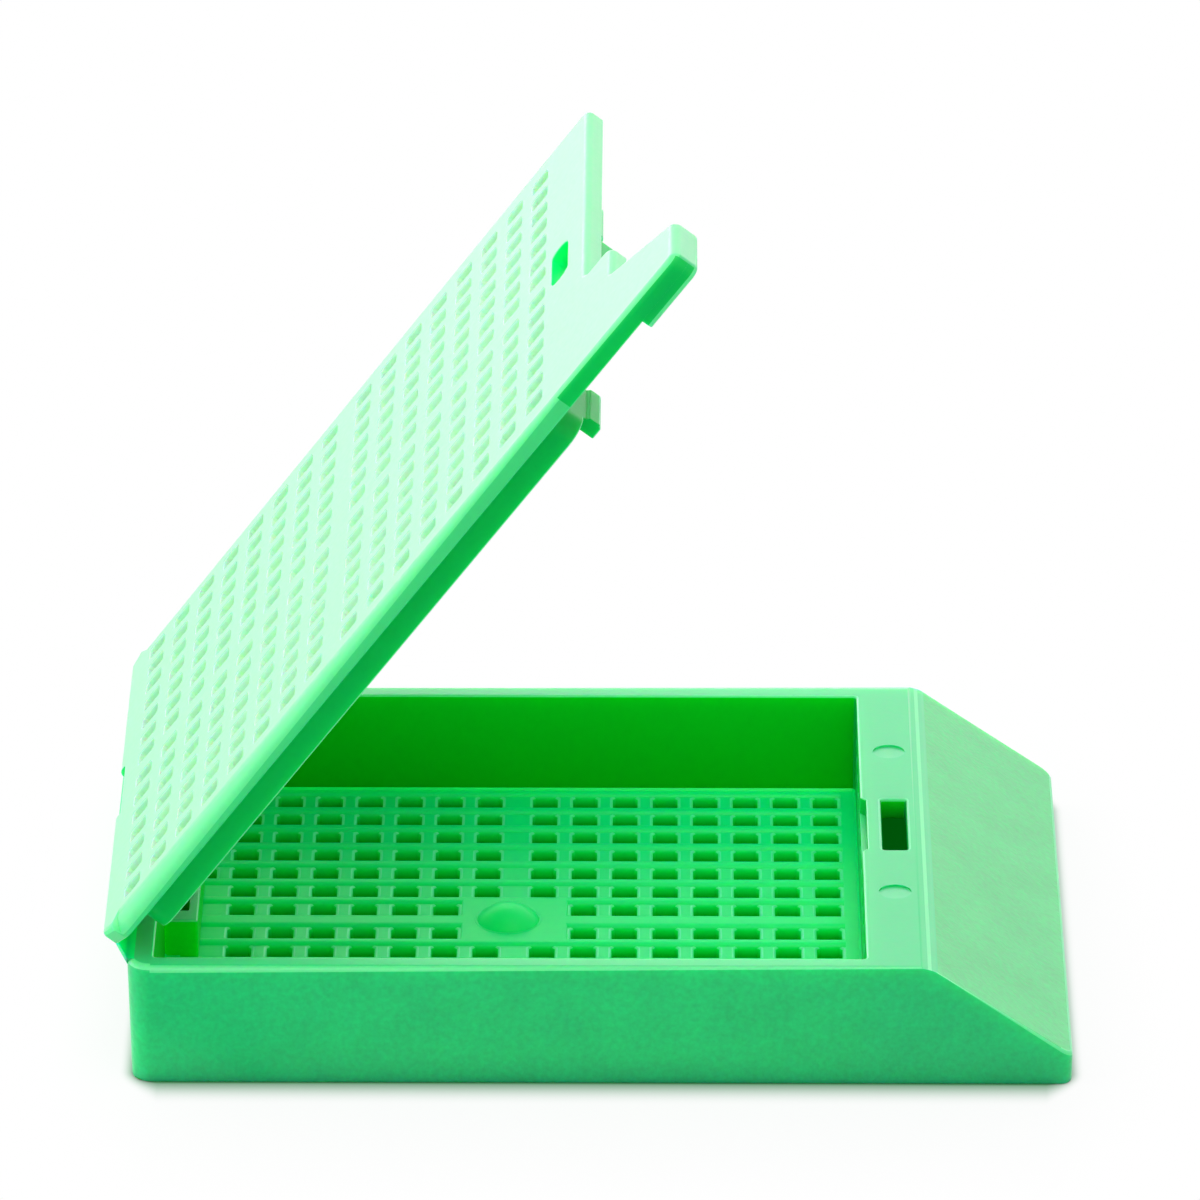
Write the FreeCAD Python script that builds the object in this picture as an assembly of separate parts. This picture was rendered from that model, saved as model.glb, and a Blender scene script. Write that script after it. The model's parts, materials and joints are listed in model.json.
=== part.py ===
import FreeCAD, Part
import math
import os

from FreeCAD import Vector

# Tissue cassette: a perforated tray with a sloping label face and a perforated latching lid.
# Tray, lid and the thin strip between them are one moulding, and the strip is the hinge.
# Millimetres.  X runs from the hinge to the label end, Y across, Z up.
# The origin is the middle of the tray's underside.  The lid is stored half open.

# Tray
tray_length = 40.5
tray_width = 28.5
tray_height = 5.6
side_wall = 0.95
rear_wall = 1.12
front_wall = 0.9
floor_thickness = 0.9
flange_length = 2.7        # level strip between the well and the label face
flange_thickness = 1.0
label_run = 6.25           # horizontal length of the sloping label face
label_thickness = 1.0
toe_height = 1.35          # height of the upright edge below the label face
toe_wall = 1.05
wall_draft = 0.12          # how far each outer wall leans in at its foot
rear_corner_radius = 1.0
toe_corner_radius = 0.6
well_corner_radius = 0.2
rim_radius = 0.25

# Perforation
hole_size = 1.1
bar_width = 0.74
crossbar_width = 0.7          # the tray's bars that run in Y
middle_rib_width = 1.22       # wider bar along the middle, running in X
middle_crossbar_width = 1.38  # wider bar across the middle, running in Y
rib_rise = 0.12               # the bars along X stand this much above the crossbars
edge_strip = 0.25             # least plain strip between the holes and a wall
lid_grid_shift = -0.085       # from the middle of the well towards the hinge

# Raised pad with a dome in the middle of the floor
pad_border = 0.54             # past the four holes that it fills
dome_radius = 1.38
dome_height = 0.7
dome_shift = -0.27            # from the pad's middle towards the hinge

# Catches in the tray for the lid's rear claw and front hook
bracket_width = 7.3
bracket_length = 1.45
bracket_drop = 0.8            # from the catch down to its top
rear_slot_width = 5.3
rear_slot_length = 1.03
catch_recess_depth = 0.77     # into the rear wall, under the catch
catch_height = 2.2            # height of wall left above the recess
front_slot_width = 5.1
front_slot_length = 1.1
front_slot_setback = 0.9      # from the well's edge
finger_notch_width = 5.5
finger_notch_narrow = 4.9
finger_notch_length = 0.25

# Drain windows in the well's front wall, one for each column of holes
drain_width = 1.0
drain_height = 0.9

# Ejector marks on the flange
mark_radius = 0.7
mark_depth = 0.08
mark_spacing = 14.2
mark_shift = 0.35             # of both marks from the middle, in Y

# Living hinge
film_length = 1.5             # tray to lid when the lid lies flat open
film_thickness = 0.25
film_width = 26.9             # where it meets tray and lid
film_waist = 21.8             # on the hinge line

# Lid
lid_thickness = 0.85
lid_setback = 0.4             # from the tray's ridge to the lid's front edge
lid_corner_radius = 0.4
lid_edge_radius = 0.4
rear_corner_cut = 0.95        # the lid's rear corners are cut back along X by this much
closing_gap = 0.15            # between lid and rim when closed
lip_thickness = 0.55
lip_depth = 1.3
lip_corner_radius = 1.0
lip_side_clearance = 0.2
lip_rear_clearance = 0.29
lip_front_clearance = 0.55
lip_bracket_clearance = 0.3   # from the lip's rear ends to the bracket's sides
tongue_width = 3.1
tongue_setback = 1.2          # from the lip's outer side
tongue_depth = 2.2
tongue_barb = 0.15
tongue_barb_height = 0.8
film_window_width = 4.9
film_window_length = 1.23     # from the hinge line

# Opening tab on the lid's front edge
tab_reach = 6.1               # past the lid's front edge
tab_shoulder_reach = 1.8
tab_width = 9.35              # along the front edge, with its shoulder
tab_neck_width = 6.25         # where the slanting edge starts
tab_tip_width = 3.8
tab_tip_radius = 0.5
tab_slant_radius = 0.35       # between the tip and the slanting edge
tab_neck_radius = 0.2
tab_shoulder_radius = 0.55
tab_root_radius = 0.3
tab_pad_reach = 3.2           # length of the thickened thumb pad at the tip
tab_pad_rise = 0.5

# Rear claw and front hook on the lid's inner face
claw_side_clearance = 0.67    # to the ends of the rear slot
claw_front_clearance = 0.25   # to the bracket's front bar
claw_wall_clearance = 0.13    # to the rear wall
claw_catch_clearance = 0.25   # under the catch
claw_bite = 0.59              # how far the barb reaches under the catch
claw_barb_slope = 0.3         # height of the barb's slanting upper face
claw_barb_face = 0.3          # height of its upright face
claw_lead_in = (0.32, 0.45)   # bevel under the barb, in X and Z
claw_heel_cut = (0.7, 0.8)    # bevel on the other side of the tip, in X and Z
hook_side_clearance = 0.85    # to the ends of the front slot
hook_front_clearance = 0.25   # to the slot's front side
hook_catch_clearance = 0.05   # under the flange
hook_rear_clearance = 0.1     # from the barb to the slot's rear side
hook_shank = 0.45
hook_barb_slope = 0.2
hook_barb_face = 0.25
hook_lead_in = (0.2, 0.45)
hook_nose_cut = (0.3, 0.4)
hook_window_margin = 0.05     # past each end of the hook
hook_window_gap = 0.35        # to the hook's shank
hook_window_length = 1.1

# The lid turns about the hinge line; 0 is closed and 180 lies flat open.
rest_angle = 52.5

# Places that follow from the sizes above
rear_x = -tray_length / 2
toe_x = tray_length / 2
ridge_x = toe_x - label_run
hinge_x = rear_x - film_length / 2
well_rear_x = rear_x + rear_wall
well_front_x = ridge_x - flange_length
well_half_width = tray_width / 2 - side_wall
hinge_point = Vector(hinge_x, 0, tray_height)
opening_axis = Vector(0, -1, 0)
well_half_length = (well_front_x - well_rear_x) / 2
tray_grid_x = well_rear_x + well_half_length
lid_grid_x = tray_grid_x + lid_grid_shift
pad_length = middle_crossbar_width + 2 * (hole_size + pad_border)
pad_width = middle_rib_width + 2 * (hole_size + pad_border)
bracket_top = tray_height - catch_height - bracket_drop
lip_half_width = well_half_width - lip_side_clearance
tongue_middle = lip_half_width - tongue_setback - tongue_width / 2
lid_inner_z = tray_height + closing_gap
lid_front_x = ridge_x - lid_setback
past = 1.0                    # cutting tools reach this far past the faces they cut
root = 0.2                    # added blocks start this far inside what carries them


def outline(corners, z):
    """Closed flat wire at height z; each corner is (x, y, radius of its rounding)."""
    corner_count = len(corners)
    turns = []
    for index, (x, y, radius) in enumerate(corners):
        here = Vector(x, y, z)
        before_x, before_y, _ = corners[index - 1]
        after_x, after_y, _ = corners[(index + 1) % corner_count]
        to_before = (Vector(before_x, before_y, z) - here).normalize()
        to_after = (Vector(after_x, after_y, z) - here).normalize()
        if radius == 0:
            turns.append((here, None, here))
            continue
        half_angle = to_before.getAngle(to_after) / 2
        reach = radius / math.tan(half_angle)
        inward = (to_before + to_after).normalize()
        middle = here + inward * (radius / math.sin(half_angle) - radius)
        turns.append((here + to_before * reach, middle, here + to_after * reach))
    edges = []
    for index, (start, middle, end) in enumerate(turns):
        if middle is not None:
            edges.append(Part.Arc(start, middle, end).toShape())
        next_start = turns[(index + 1) % corner_count][0]
        if (next_start - end).Length > 1e-6:
            edges.append(Part.LineSegment(end, next_start).toShape())
    return Part.Wire(edges)


def plate(corners, z_low, z_high):
    """Flat plate with the given outline."""
    return Part.Face(outline(corners, z_low)).extrude(Vector(0, 0, z_high - z_low))


def block(x_low, x_high, y_low, y_high, z_low, z_high):
    """Box between two corners."""
    size = (x_high - x_low, y_high - y_low, z_high - z_low)
    return Part.makeBox(*size, Vector(x_low, y_low, z_low))


def side_profile(points, width, y_middle=0.0):
    """Solid of constant section, from (x, z) points, centred on y_middle."""
    y_low = y_middle - width / 2
    corners = [Vector(x, y_low, z) for x, z in points]
    face = Part.Face(Part.makePolygon(corners + corners[:1]))
    return face.extrude(Vector(0, width, 0))


def rectangle(x_low, x_high, half_width, radii):
    """Corners of a rectangle centred on Y; radii are for the low-X and the high-X corners."""
    low_radius, high_radius = radii
    return [
        (x_low, -half_width, low_radius),
        (x_high, -half_width, high_radius),
        (x_high, half_width, high_radius),
        (x_low, half_width, low_radius),
    ]


def centred_places(half_space, middle_bar, bar):
    """Hole centres on one axis: two equal groups, one each side of a wider middle bar."""
    usable = half_space - middle_bar / 2 - edge_strip
    group = int((usable + bar) / (hole_size + bar))
    first = middle_bar / 2 + hole_size / 2
    places = [first + step * (hole_size + bar) for step in range(group)]
    return [-place for place in reversed(places)] + places


tray_rows = [
    tray_grid_x + place
    for place in centred_places(well_half_length, middle_crossbar_width, crossbar_width)
]
lid_rows = [
    lid_grid_x + place
    for place in centred_places(
        well_half_length - abs(lid_grid_shift), middle_crossbar_width, bar_width
    )
]
column_places = centred_places(well_half_width, middle_rib_width, bar_width)


def hole_places(rows):
    """(x, y) of every hole centre in the grid."""
    return [(x, y) for x in rows for y in column_places]


def hole(x, y, z_low, z_high):
    """Square cutter for one hole."""
    half = hole_size / 2
    return block(x - half, x + half, y - half, y + half, z_low, z_high)


def channels(rows, z_low, z_high):
    """Cutters that lower the crossbars between the ribs, one for each column of holes."""
    half = hole_size / 2
    x_low = rows[0] - half
    x_high = rows[-1] + half
    return [block(x_low, x_high, y - half, y + half, z_low, z_high) for y in column_places]


def edges_where(shape, test):
    """Edges of a shape whose every vertex passes the test."""
    return [edge for edge in shape.Edges if all(test(vertex.Point) for vertex in edge.Vertexes)]


def tray_shell():
    """Outer body with drafted walls, sloping label face and rounded upper edges."""
    radii = (rear_corner_radius, toe_corner_radius)
    foot = rectangle(rear_x + wall_draft, toe_x - wall_draft, tray_width / 2 - wall_draft, radii)
    rim = rectangle(rear_x, toe_x, tray_width / 2, radii)
    body = Part.makeLoft([outline(foot, 0), outline(rim, tray_height)], True, True)
    slope = (tray_height - toe_height) / label_run
    above_label = side_profile(
        [
            (ridge_x - past, tray_height + slope * past),
            (toe_x + past, toe_height - slope * past),
            (toe_x + past, tray_height + slope * past),
        ],
        tray_width + 2 * past,
    )
    body = body.cut(above_label)

    def on_upper_surface(point):
        label_z = tray_height - slope * (point.x - ridge_x)
        return abs(point.z - min(tray_height, label_z)) < 1e-3

    return body.makeFillet(rim_radius, edges_where(body, on_upper_surface))


def label_hollow():
    """Space under the flange and the label face, open at the bottom."""
    slope = (tray_height - toe_height) / label_run
    drop = label_thickness * math.hypot(1, slope)
    flange_under = tray_height - flange_thickness
    x_low = well_front_x + front_wall
    x_high = toe_x - toe_wall
    x_bend = ridge_x + (tray_height - drop - flange_under) / slope
    z_toe = tray_height - drop - slope * (x_high - ridge_x)
    points = [
        (x_low, -past),
        (x_low, flange_under),
        (x_bend, flange_under),
        (x_high, z_toe),
        (x_high, -past),
    ]
    return side_profile(points, 2 * well_half_width)


def rear_bracket():
    """Low U-shaped block on the rear wall that holds the rear slot's front bar."""
    x_high = well_rear_x + bracket_length
    half = bracket_width / 2
    return block(well_rear_x - root, x_high, -half, half, 0, bracket_top)


def rear_slot():
    """Slot through bracket and floor, with a recess under the catch in the rear wall."""
    half = rear_slot_width / 2
    top = bracket_top + past
    slot = block(well_rear_x, well_rear_x + rear_slot_length, -half, half, -past, top)
    recess_top = tray_height - catch_height
    recess = block(well_rear_x - catch_recess_depth, well_rear_x, -half, half, -past, recess_top)
    return slot.fuse(recess)


def front_slot():
    """Slot in the flange for the front hook."""
    x_low = well_front_x + front_slot_setback
    half = front_slot_width / 2
    z_low = tray_height - flange_thickness - past / 2
    return block(x_low, x_low + front_slot_length, -half, half, z_low, tray_height + past)


def finger_notch():
    """Shallow notch with slanting ends in the well's front edge."""
    wide = finger_notch_width / 2
    narrow = finger_notch_narrow / 2
    x_high = well_front_x + finger_notch_length
    corners = [
        (well_front_x - past, -wide, 0),
        (well_front_x, -wide, 0),
        (x_high, -narrow, 0),
        (x_high, narrow, 0),
        (well_front_x, wide, 0),
        (well_front_x - past, wide, 0),
    ]
    return plate(corners, tray_height - flange_thickness, tray_height + past)


def drain_windows():
    """Windows through the well's front wall, just under the flange."""
    z_high = tray_height - flange_thickness
    half = drain_width / 2
    x_low = well_front_x - past / 2
    x_high = well_front_x + front_wall + past / 2
    return [
        block(x_low, x_high, y - half, y + half, z_high - drain_height, z_high)
        for y in column_places
    ]


def centre_pad():
    """Unperforated pad with a dome, filling the four middle holes."""
    half_length = pad_length / 2
    half_width = pad_width / 2
    pad = block(
        tray_grid_x - half_length, tray_grid_x + half_length,
        -half_width, half_width, 0, floor_thickness,
    )
    sphere_radius = (dome_radius ** 2 + dome_height ** 2) / (2 * dome_height)
    dome_x = tray_grid_x + dome_shift
    centre_z = floor_thickness + dome_height - sphere_radius
    ball = Part.makeSphere(sphere_radius, Vector(dome_x, 0, centre_z))
    cap = ball.common(
        block(
            dome_x - dome_radius - past, dome_x + dome_radius + past,
            -dome_radius - past, dome_radius + past,
            floor_thickness / 2, floor_thickness + dome_height + past,
        )
    )
    return pad.fuse(cap)


def floor_hole_is_open(x, y):
    """False where the centre pad or the rear bracket takes the hole's place."""
    half = hole_size / 2
    under_pad = (
        abs(x - tray_grid_x) - half < pad_length / 2 - crossbar_width / 2
        and abs(y) - half < pad_width / 2 - bar_width / 2
    )
    under_bracket = x - half < well_rear_x + bracket_length and abs(y) - half < bracket_width / 2
    return not under_pad and not under_bracket


def ejector_marks():
    """Shallow round marks on the flange."""
    x = well_front_x + flange_length / 2
    z_low = tray_height - mark_depth
    return [
        Part.makeCylinder(mark_radius, mark_depth + past, Vector(x, y, z_low))
        for y in (mark_shift - mark_spacing / 2, mark_shift + mark_spacing / 2)
    ]


def film_root(z_low):
    """Square-edged strip that carries the hinge film into the rounded rear rim."""
    half = film_width / 2
    return block(rear_x, rear_x + 2 * rim_radius, -half, half, z_low, tray_height)


def tray():
    well_radii = (well_corner_radius, well_corner_radius)
    well_corners = rectangle(well_rear_x, well_front_x, well_half_width, well_radii)
    well = plate(well_corners, floor_thickness, tray_height + past)
    body = tray_shell().fuse(film_root(tray_height - film_thickness))
    body = body.cut([well, label_hollow()])
    body = body.cut(channels(tray_rows, floor_thickness - rib_rise, floor_thickness + past))
    body = body.fuse([centre_pad(), rear_bracket()])
    holes = [
        hole(x, y, -past, floor_thickness + past)
        for x, y in hole_places(tray_rows)
        if floor_hole_is_open(x, y)
    ]
    body = body.cut([rear_slot(), front_slot(), finger_notch()])
    body = body.cut(drain_windows() + ejector_marks())
    return body.cut(Part.makeCompound(holes)).removeSplitter()


def lid_outline():
    """Corners of the closed lid's plate, with its opening tab on the -Y side."""
    half = tray_width / 2
    shoulder_x = lid_front_x + tab_shoulder_reach
    tip_x = lid_front_x + tab_reach
    cut_x = rear_x + rear_corner_cut
    tab_inner_y = -half + tab_width
    neck_y = -half + tab_neck_width
    tip_y = -half + tab_tip_width
    return [
        (rear_x, -film_width / 2, 0),
        (cut_x, -half, rear_corner_radius),
        (tip_x, -half, tab_tip_radius),
        (tip_x, tip_y, tab_slant_radius),
        (shoulder_x, neck_y, tab_neck_radius),
        (shoulder_x, tab_inner_y, tab_shoulder_radius),
        (lid_front_x, tab_inner_y, tab_root_radius),
        (lid_front_x, half, lid_corner_radius),
        (cut_x, half, rear_corner_radius),
        (rear_x, film_width / 2, 0),
    ]


def lid_plate():
    """Plate with its outer face's edges rounded."""
    z_low = lid_inner_z
    z_high = z_low + lid_thickness
    body = plate(lid_outline(), z_low, z_high)

    def on_outer_face(point):
        return abs(point.z - z_high) < 1e-6

    return body.makeFillet(lid_edge_radius, edges_where(body, on_outer_face))


def lip_frame():
    """Frame that stands inside the closed well, open at the rear for the claw."""
    x_low = well_rear_x + lip_rear_clearance
    x_high = well_front_x - lip_front_clearance
    z_high = lid_inner_z
    z_low = z_high - lip_depth
    outer_radii = (lip_corner_radius, lip_corner_radius)
    inner_radius = lip_corner_radius - lip_thickness
    outer = plate(rectangle(x_low, x_high, lip_half_width, outer_radii), z_low, z_high)
    inner_corners = rectangle(
        x_low + lip_thickness, x_high - lip_thickness,
        lip_half_width - lip_thickness, (inner_radius, inner_radius),
    )
    inner = plate(inner_corners, z_low - past, z_high + past)
    gap_half = bracket_width / 2 + lip_bracket_clearance
    gap = block(
        x_low - past, x_low + lip_thickness + lip_corner_radius,
        -gap_half, gap_half, z_low - past, z_high + past,
    )
    return outer.cut([inner, gap])


def lip_tongue(y_middle):
    """Taller tongue on the front lip with a small forward barb."""
    x_high = well_front_x - lip_front_clearance
    x_low = x_high - lip_thickness
    z_high = lid_inner_z
    z_tip = z_high - tongue_depth
    points = [
        (x_low, z_high),
        (x_low, z_tip),
        (x_high, z_tip),
        (x_high + tongue_barb, z_tip + tongue_barb),
        (x_high + tongue_barb, z_tip + tongue_barb_height - tongue_barb),
        (x_high, z_tip + tongue_barb_height),
        (x_high, z_high),
    ]
    return side_profile(points, tongue_width, y_middle)


def barbed_section(x_high, x_shank, x_barb, z_catch, barb_slope, barb_face, lead_in, back_cut):
    """(x, z) points of a catch that hangs from the closed lid, its barb towards the hinge."""
    lead_in_x, lead_in_z = lead_in
    back_cut_x, back_cut_z = back_cut
    z_tip = z_catch - barb_slope - barb_face - lead_in_z
    return [
        (x_high, lid_inner_z),
        (x_shank, lid_inner_z),
        (x_shank, z_catch),
        (x_barb, z_catch - barb_slope),
        (x_barb, z_tip + lead_in_z),
        (x_barb + lead_in_x, z_tip),
        (x_high - back_cut_x, z_tip),
        (x_high, z_tip + back_cut_z),
    ]


def rear_claw():
    """Claw that reaches through the rear slot and under the rear catch."""
    x_high = well_rear_x + rear_slot_length - claw_front_clearance
    z_catch = tray_height - catch_height - claw_catch_clearance
    points = barbed_section(
        x_high, well_rear_x + claw_wall_clearance, well_rear_x - claw_bite, z_catch,
        claw_barb_slope, claw_barb_face, claw_lead_in, claw_heel_cut,
    )
    return side_profile(points, rear_slot_width - 2 * claw_side_clearance)


def front_hook_places():
    """X of the front hook's outer side, of its shank's inner side and of its barb."""
    x_slot = well_front_x + front_slot_setback
    x_high = x_slot + front_slot_length - hook_front_clearance
    return x_high, x_high - hook_shank, x_slot + hook_rear_clearance


def front_hook_width():
    return front_slot_width - 2 * hook_side_clearance


def front_hook():
    """Hook for the slot in the flange."""
    x_high, x_shank, x_barb = front_hook_places()
    z_catch = tray_height - flange_thickness - hook_catch_clearance
    points = barbed_section(
        x_high, x_shank, x_barb, z_catch,
        hook_barb_slope, hook_barb_face, hook_lead_in, hook_nose_cut,
    )
    return side_profile(points, front_hook_width())


def hook_window():
    """Window through the lid over the front hook's barb."""
    _, x_shank, _ = front_hook_places()
    x_high = x_shank - hook_window_gap
    half = front_hook_width() / 2 + hook_window_margin
    z_high = lid_inner_z + lid_thickness
    return block(x_high - hook_window_length, x_high, -half, half, lid_inner_z - past, z_high + past)


def thumb_pad():
    """Thickened tip of the opening tab, on the lid's inner face."""
    tip_x = lid_front_x + tab_reach
    z_high = lid_inner_z
    low = plate(lid_outline(), z_high - tab_pad_rise, z_high)
    zone = block(
        tip_x - tab_pad_reach, tip_x + past,
        -tray_width / 2 - past, 0, z_high - tab_pad_rise - past, z_high,
    )
    return low.common(zone)


def closed_lid():
    z_low = lid_inner_z
    z_high = z_low + lid_thickness
    body = lid_plate()
    body = body.cut(channels(lid_rows, z_low - past, z_low + rib_rise))
    holes = [hole(x, y, z_low - past, z_high + past) for x, y in hole_places(lid_rows)]
    body = body.cut(Part.makeCompound(holes))
    window_half = film_window_width / 2
    film_window = block(
        hinge_x - past, hinge_x + film_window_length,
        -window_half, window_half, z_low - past, z_high + past,
    )
    body = body.cut([film_window, hook_window()])
    tongues = [lip_tongue(-tongue_middle), lip_tongue(tongue_middle)]
    body = body.fuse([lip_frame(), rear_claw(), front_hook(), thumb_pad()] + tongues)
    return body.removeSplitter()


def lid():
    body = closed_lid()
    body.rotate(hinge_point, opening_axis, rest_angle)
    return body


def film_strip(z_low):
    """Half of the hinge film, from the hinge line to the tray's rear wall, flat."""
    corners = [
        (hinge_x, -film_waist / 2, 0),
        (rear_x, -film_width / 2, 0),
        (rear_x, film_width / 2, 0),
        (hinge_x, film_waist / 2, 0),
    ]
    return plate(corners, z_low, z_low + film_thickness)


def living_hinge():
    tray_half = film_strip(tray_height - film_thickness)
    lid_half = film_strip(tray_height)
    window_half = film_window_width / 2
    lid_half = lid_half.cut(
        block(hinge_x, rear_x, -window_half, window_half, tray_height - past, tray_height + past)
    )
    lid_half.rotate(hinge_point, opening_axis, rest_angle)
    waist = film_waist / 2
    end_corners = [
        Vector(hinge_x, -waist, tray_height - film_thickness),
        Vector(hinge_x, waist, tray_height - film_thickness),
        Vector(hinge_x, waist, tray_height),
        Vector(hinge_x, -waist, tray_height),
    ]
    end_face = Part.Face(Part.makePolygon(end_corners + end_corners[:1]))
    bend = end_face.revolve(hinge_point, -opening_axis, 180 - rest_angle)
    return tray_half.fuse([bend, lid_half]).removeSplitter()


nodes = {"tray": tray, "lid": lid, "living_hinge": living_hinge}

os.makedirs("parts", exist_ok=True)
for node_name, build_node in nodes.items():
    shape = build_node()
    solid = shape.Solids[0]
    print(node_name, len(shape.Solids), "solid", round(solid.Volume, 1), "mm3", shape.isValid())
    shape.exportStep(f"parts/{node_name}.step")
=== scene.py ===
"""A moulded tissue cassette, half open: perforated tray, perforated lid and the film hinge between them.

Shapes are built in millimetres, in the frame's axes, and scaled to metres when a piece is finished.
The lid is built closed and then turned open about the hinge line by the stored rest angle.
"""

import json
import math
from contextlib import contextmanager

import bmesh
import bpy
from mathutils import Matrix, Vector


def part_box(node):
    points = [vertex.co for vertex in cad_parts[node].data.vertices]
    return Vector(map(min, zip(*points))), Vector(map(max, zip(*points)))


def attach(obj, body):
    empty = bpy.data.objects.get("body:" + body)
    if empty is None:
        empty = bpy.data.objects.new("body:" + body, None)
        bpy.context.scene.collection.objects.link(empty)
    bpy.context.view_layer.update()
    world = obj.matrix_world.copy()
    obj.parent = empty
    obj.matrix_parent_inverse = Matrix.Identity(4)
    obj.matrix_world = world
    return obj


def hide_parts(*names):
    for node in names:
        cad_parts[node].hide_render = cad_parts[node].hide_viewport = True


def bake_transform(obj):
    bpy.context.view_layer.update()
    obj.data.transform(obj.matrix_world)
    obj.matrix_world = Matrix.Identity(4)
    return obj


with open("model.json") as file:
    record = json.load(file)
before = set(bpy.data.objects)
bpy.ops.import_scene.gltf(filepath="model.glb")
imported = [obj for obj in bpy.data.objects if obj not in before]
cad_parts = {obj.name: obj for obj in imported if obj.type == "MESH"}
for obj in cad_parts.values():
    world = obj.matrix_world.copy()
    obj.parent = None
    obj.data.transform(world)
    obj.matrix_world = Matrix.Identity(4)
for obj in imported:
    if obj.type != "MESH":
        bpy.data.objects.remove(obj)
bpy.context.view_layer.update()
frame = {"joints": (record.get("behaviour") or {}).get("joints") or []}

MM = 0.001

# Sizes read from the frame, in millimetres
hinge = frame["joints"][0]
HINGE = Vector(hinge["pos_m"]) / MM
REST_ANGLE = math.radians(-hinge["range_deg"][0])
tray_low, tray_high = (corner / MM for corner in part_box("tray"))
film_low, film_high = (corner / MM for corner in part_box("living_hinge"))
lid_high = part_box("lid")[1] / MM
HEIGHT = tray_high.z
REAR = tray_low.x
HALF_WIDTH = lid_high.y
FILM_HALF_WIDTH = film_high.y
FILM_LENGTH = REAR - HINGE.x

# Tray
DRAFT = 0.12
TOE = -REAR
LABEL_RUN = 6.25
TOE_HEIGHT = 1.35
RIDGE = TOE - LABEL_RUN
SIDE_WALL = 0.95
REAR_WALL = 1.12
FRONT_WALL = 0.9
FLANGE = 2.7
FLANGE_UNDERSIDE = HEIGHT - 1.0
LABEL_THICKNESS = 1.0
TOE_WALL = 1.05
FLOOR = 0.9
WELL_REAR = REAR + REAR_WALL
WELL_FRONT = RIDGE - FLANGE
WELL_HALF = HALF_WIDTH - SIDE_WALL
REAR_CORNER = 1.0
TOE_CORNER = 0.6
WELL_CORNER = 0.2
RIM_ROUNDING = 0.3
LABEL_ROUNDING = 0.14
RIDGE_ROUNDING = 0.4
FOOT_ROUNDING = 0.12
HOLLOW_ROUNDING = 0.12

# Perforation
HOLE = 1.1
BAR = 0.74
CROSSBAR = 0.7  # the tray's bars that run in Y
ROWS = 16  # along X
COLUMNS = 14  # along Y
MIDDLE_RIB = 1.22
MIDDLE_CROSSBAR = 1.38
CHANNEL_RUN_OUT = 0.16
RIB_RISE = 0.12
RIB_SHOULDER = 0.32
RIB_SHOULDER_HEIGHT = 0.26
SHOULDER_STEPS = 4
BAR_ROUNDING = 0.14
HOLE_CORNER = 0.13
MOUTH_ROUNDING = 0.06
TRAY_GRID_X = (WELL_REAR + WELL_FRONT) / 2
LID_GRID_X = TRAY_GRID_X - 0.085

# Centre pad and dome
PAD_BORDER = 0.54
PAD_CORNER = 0.3
PAD_ROUNDING = 0.08
PAD_ROOT = 0.1  # height inside the floor from which added blocks start
DOME_RADIUS = 1.38
DOME_HEIGHT = 0.7
DOME_SHIFT = -0.27  # from the pad's middle towards the hinge
DOME_ROOT = 0.2
DOME_SKIRT = 0.12  # how far the fillet round its foot reaches
DOME_SKIRT_EDGE = (0.05, FLOOR + 0.03)
DOME_STEPS = 12

# Catches in the tray
BRACKET_WIDTH = 7.3
BRACKET_FRONT = WELL_REAR + 1.45
BRACKET_TOP = HEIGHT - 3.0
BRACKET_CORNER = 0.12
BRACKET_ROOT = 0.3  # how far it reaches into the rear wall
BRACKET_MARGIN = 0.2  # kept free of holes on either side of it
REAR_SLOT_WIDTH = 5.3
REAR_SLOT_END = WELL_REAR + 1.03
REAR_SLOT_CORNER = 0.08
RECESS_DEPTH = 0.77
RECESS_OVERLAP = 0.2
CATCH_HEIGHT = 2.2
FRONT_SLOT_WIDTH = 5.1
FRONT_SLOT_START = WELL_FRONT + 0.9
FRONT_SLOT_END = FRONT_SLOT_START + 1.1
FRONT_SLOT_CORNER = 0.14
SLOT_ROUNDING = 0.13
NOTCH_WIDTH = 5.5
NOTCH_NARROW = 4.9
NOTCH_LENGTH = 0.25
NOTCH_DEPTH = 0.8
DRAIN_WIDTH = 1.0
DRAIN_HEIGHT = 0.9
MARK_RADIUS = 0.7
MARK_DEPTH = 0.09
MARK_TILT = 0.45  # how much shallower its middle is than its deep side, as part of its depth
MARK_SPACING = 14.2
MARK_SHIFT = 0.35  # of both marks from the middle, in Y

# Lid
LID_INNER = HEIGHT + 0.15
LID_OUTER = LID_INNER + 0.85
LID_ROOT = LID_INNER + 0.02  # inside the lid, where what hangs from it starts
LID_FRONT = RIDGE - 0.4
LIP = 0.55
LIP_DEPTH = 1.3
LIP_CORNER = 1.0
LIP_REAR = WELL_REAR + 0.29
LIP_FRONT = WELL_FRONT - 0.55
LIP_HALF = WELL_HALF - 0.2
LIP_BRACKET_CLEARANCE = 0.3
TONGUE_WIDTH = 3.1
TONGUE_DEPTH = 2.2
TONGUE_MARGIN = 1.2  # from the lip's side to the tongue
TONGUE_BARB = 0.15
TONGUE_BARB_HEIGHT = 0.8
TAB_REACH = 6.1
TAB_SHOULDER = 1.8
TAB_WIDTH = 9.35
TAB_NECK_WIDTH = 6.25
TAB_TIP_WIDTH = 3.8
TIP_CORNER = 0.5
SLANT_CORNER = 0.45  # between the tab's tip and its slanting side
NECK_CORNER = 0.2
SHOULDER_CORNER = 0.55
ROOT_CORNER = 0.35  # where the tab leaves the lid's front edge
FRONT_CORNER = 0.4
THUMB_PAD_REACH = 3.2
THUMB_PAD_RISE = 0.5
THUMB_PAD_ROUNDING = 0.22
THUMB_PAD_ROOT = 0.08
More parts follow.
